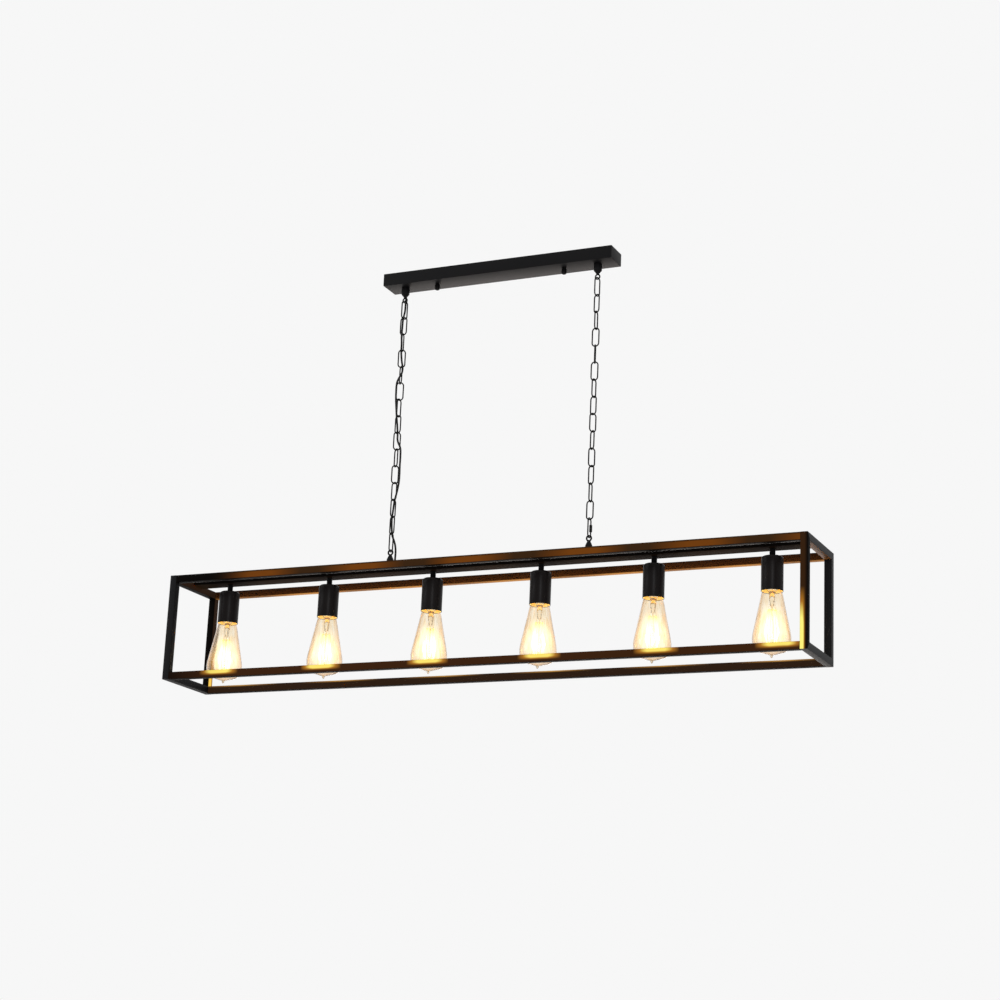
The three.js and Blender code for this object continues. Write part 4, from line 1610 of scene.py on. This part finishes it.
def makeMount(number):
    x = boxCentre(f"bulb_glass_{number}").x
    top, pinchTop, pinchBottom, rodBottom = (
        glassTop() - mount[key] for key in ("top", "pinchTop", "pinchBottom", "rodBottom"))
    rod, bead = mount["rod"], mount["bead"]
    bm = bmesh.new()
    turnOutline(bm, [(0, top), (mount["flare"], top), (mount["flareFoot"], top - mount["flareHeight"]),
                     (mount["tube"], pinchTop), (mount["pinch"], pinchBottom),
                     (rod, pinchBottom - mount["pinchTaper"]), (rod, rodBottom + mount["beadTop"]),
                     (bead, rodBottom + mount["beadMiddle"]), (mount["beadEnd"], rodBottom),
                     (0, rodBottom)], mount["steps"], (x, 0))
    softenEdges(bm, mount["edge"], segments=1, least=35)
    finishPiece(bm, f"glassMount{number}", lampBody(number), clearGlass)


def makeLeads(number):
    x = boxCentre(f"bulb_glass_{number}").x
    pinchTop = glassTop() - mount["pinchTop"]
    upper, lower = glassTop() - filament["top"], glassTop() - filament["bottom"]
    bm = bmesh.new()
    for sign in (-1, 1):
        addRod(bm, (x + sign * mount["leadSpread"], 0, pinchTop),
               (x + sign * filament["topRadius"], 0, upper), mount["lead"], mount["leadSides"])
    for level, radius in ((upper, filament["topRadius"]), (lower, filament["bottomRadius"])):
        for spoke in range(mount["spokes"]):
            angle = 2 * math.pi * spoke / mount["spokes"]
            end = (x + radius * math.cos(angle), radius * math.sin(angle), level)
            addRod(bm, (x, 0, level), end, mount["spoke"], mount["spokeSides"])
    finishPiece(bm, f"leadWires{number}", lampBody(number), zinc)


# A straight round wire from one place to another
def addRod(bm, start, end, radius, sides):
    start, end = Vector(start), Vector(end)
    along = end - start
    matrix = Matrix.Translation((start + end) / 2) @ along.to_track_quat("Z", "Y").to_matrix().to_4x4()
    bmesh.ops.create_cone(bm, cap_ends=True, segments=sides, radius1=radius, radius2=radius,
                          depth=along.length, matrix=matrix)


def makeFilament(number):
    x = boxCentre(f"bulb_glass_{number}").x
    wire, sides = filament["wire"], filament["wireSides"]
    levels = [(filament[part + "Radius"], glassTop() - filament[part])
              for part in ("top", "middle", "bottom")]
    step = 2 * math.pi / filament["strands"]
    bm = bmesh.new()
    for strand in range(filament["strands"]):
        angle = step * (strand + 0.5)
        places = [Vector((x + r * math.cos(angle), r * math.sin(angle), z)) for r, z in levels]
        for start, end in zip(places, places[1:]):
            addRod(bm, start, end, wire, sides)
        r, z = levels[0] if strand % 2 else levels[-1]
        other = angle + step
        addRod(bm, (x + r * math.cos(angle), r * math.sin(angle), z),
               (x + r * math.cos(other), r * math.sin(other), z), wire, sides)
    finishPiece(bm, f"filament{number}", lampBody(number), hotFilament)


def addLampLight(number):
    data = bpy.data.lights.new(f"lampLight{number}", "POINT")
    data.energy = lampLight["power"]
    data.color = lampLight["colour"]
    data.shadow_soft_size = lampLight["radius"]
    light = bpy.data.objects.new(f"lampLight{number}", data)
    light.location = (boxCentre(f"bulb_glass_{number}").x, 0, glassTop() - lampLight["drop"])
    light.visible_camera = False
    light.visible_transmission = False
    light.visible_glossy = False
    linkToScene(light)
    light.parent = frame["bodies"][lampBody(number)]
    light.light_linking.receiver_collection = darkMembers


# Members that the lamps leave dark in the photograph
darkMembers = bpy.data.collections.new("darkMembers")


def leaveDark(*names):
    for name in names:
        darkMembers.objects.link(bpy.data.objects[name])
    for item in darkMembers.collection_objects:
        item.light_linking.link_state = "EXCLUDE"


leaveDark("leftNearPost", "leftFarPost", "leftTopBar", "leftBottomBar", "rightFarPost", "farBottomRail",
          "nearTopRail", "lampBar")
for lampNumber in range(1, lamp["count"] + 1):
    makeStem(lampNumber)
    makeCover(lampNumber)
    makeHolder(lampNumber)
    makeCap(lampNumber)
    makeGlass(lampNumber)
    makeMount(lampNumber)
    makeLeads(lampNumber)
    makeFilament(lampNumber)
    leaveDark(f"cover{lampNumber}", f"stemThread{lampNumber}")
    addLampLight(lampNumber)
print("lampholders and lamps made")


# Floor, light and background
studio = {
    "background": (0.93, 0.93, 0.93),
    "ambient": 0.55,
    "floorDark": (0.86, 0.86, 0.86),
    "floorLight": (0.9, 0.9, 0.9),
    "floorCloud": 0.8,
    "floorRoughness": 0.9,
    "floorSpecular": 0.1,
    "floorGlow": 0.24,        # what the floor adds where it is seen, towards the background's tone
    "floorHeight": -4.2,
    "floorSize": 40,
    # Name, place, what it points at, size, power in watts and colour
    "lights": [
        ("frontSoftbox", (1.7, -3.4, -0.4), (0, 0, -0.6), (0.5, 1.6), 26, (0.97, 0.98, 1)),
        ("leftSoftbox", (-3.0, -2.2, 0.3), (0, 0, -0.6), (1.5, 1.5), 16, (0.96, 0.98, 1)),
        ("backSoftbox", (-1.0, 3.4, -1.0), (0, 0, -0.3), (2.6, 1.0), 26, (1, 0.9, 0.84)),
    ],
    "bounces": 18,
    "glassBounces": 16,
    "clearBounces": 24,
}


def addSoftbox(name, place, target, size, power, colour):
    data = bpy.data.lights.new(name, "AREA")
    data.shape = "RECTANGLE"
    data.size, data.size_y = size
    data.energy = power
    data.color = colour
    light = bpy.data.objects.new(name, data)
    light.location = place
    light.rotation_mode = "QUATERNION"
    light.rotation_quaternion = (Vector(place) - Vector(target)).to_track_quat("Z", "Y")
    light.visible_camera = False
    light.visible_transmission = False
    linkToScene(light)


# 1 for a ray that shows something, by itself, in a gloss or through glass, and 0 for one that lights
def seenDirectly(tree):
    path = addNode(tree, "ShaderNodeLightPath").outputs
    seen = mathValue(tree, "MAXIMUM", path["Is Camera Ray"], path["Is Glossy Ray"])
    return mathValue(tree, "MAXIMUM", seen, path["Is Transmission Ray"])


def makeWorld():
    world = bpy.data.worlds.new("studioWorld")
    world.use_nodes = True
    bpy.context.scene.world = world
    tree = world.node_tree
    tree.nodes.clear()
    light = addNode(tree, "ShaderNodeBackground", {
        "Color": (1, 1, 1, 1), "Strength": studio["ambient"]})
    shown = addNode(tree, "ShaderNodeBackground", {
        "Color": (*studio["background"], 1), "Strength": 1.0})
    mixed = addNode(tree, "ShaderNodeMixShader", {"Fac": seenDirectly(tree)})
    tree.links.new(light.outputs[0], mixed.inputs[1])
    tree.links.new(shown.outputs[0], mixed.inputs[2])
    output = addNode(tree, "ShaderNodeOutputWorld")
    tree.links.new(mixed.outputs[0], output.inputs["Surface"])


def makeFloor():
    finish, tree, shader = newFinish("paleFloor")
    cloud = noiseValue(tree, objectPoint(tree), studio["floorCloud"])
    tree.links.new(mixColours(tree, cloud, studio["floorDark"], studio["floorLight"]),
                   shader.inputs["Base Color"])
    shader.inputs["Roughness"].default_value = studio["floorRoughness"]
    shader.inputs["Specular IOR Level"].default_value = studio["floorSpecular"]
    shader.inputs["Emission Color"].default_value = (*studio["background"], 1)
    glow = mathValue(tree, "MULTIPLY", seenDirectly(tree), studio["floorGlow"])
    tree.links.new(glow, shader.inputs["Emission Strength"])
    bm = bmesh.new()
    bmesh.ops.create_grid(bm, x_segments=1, y_segments=1, size=studio["floorSize"] / 2,
                          matrix=Matrix.Translation((0, 0, studio["floorHeight"])))
    mesh = bpy.data.meshes.new("floor")
    bm.to_mesh(mesh)
    bm.free()
    mesh.materials.append(finish)
    floor = bpy.data.objects.new("floor", mesh)
    linkToScene(floor)


def setRendering():
    scene = bpy.context.scene
    scene.view_settings.view_transform = "Standard"
    scene.cycles.max_bounces = studio["bounces"]
    scene.cycles.transmission_bounces = studio["glassBounces"]
    scene.cycles.transparent_max_bounces = studio["clearBounces"]


for softbox in studio["lights"]:
    addSoftbox(*softbox)
makeWorld()
makeFloor()
setRendering()
print("studio made")
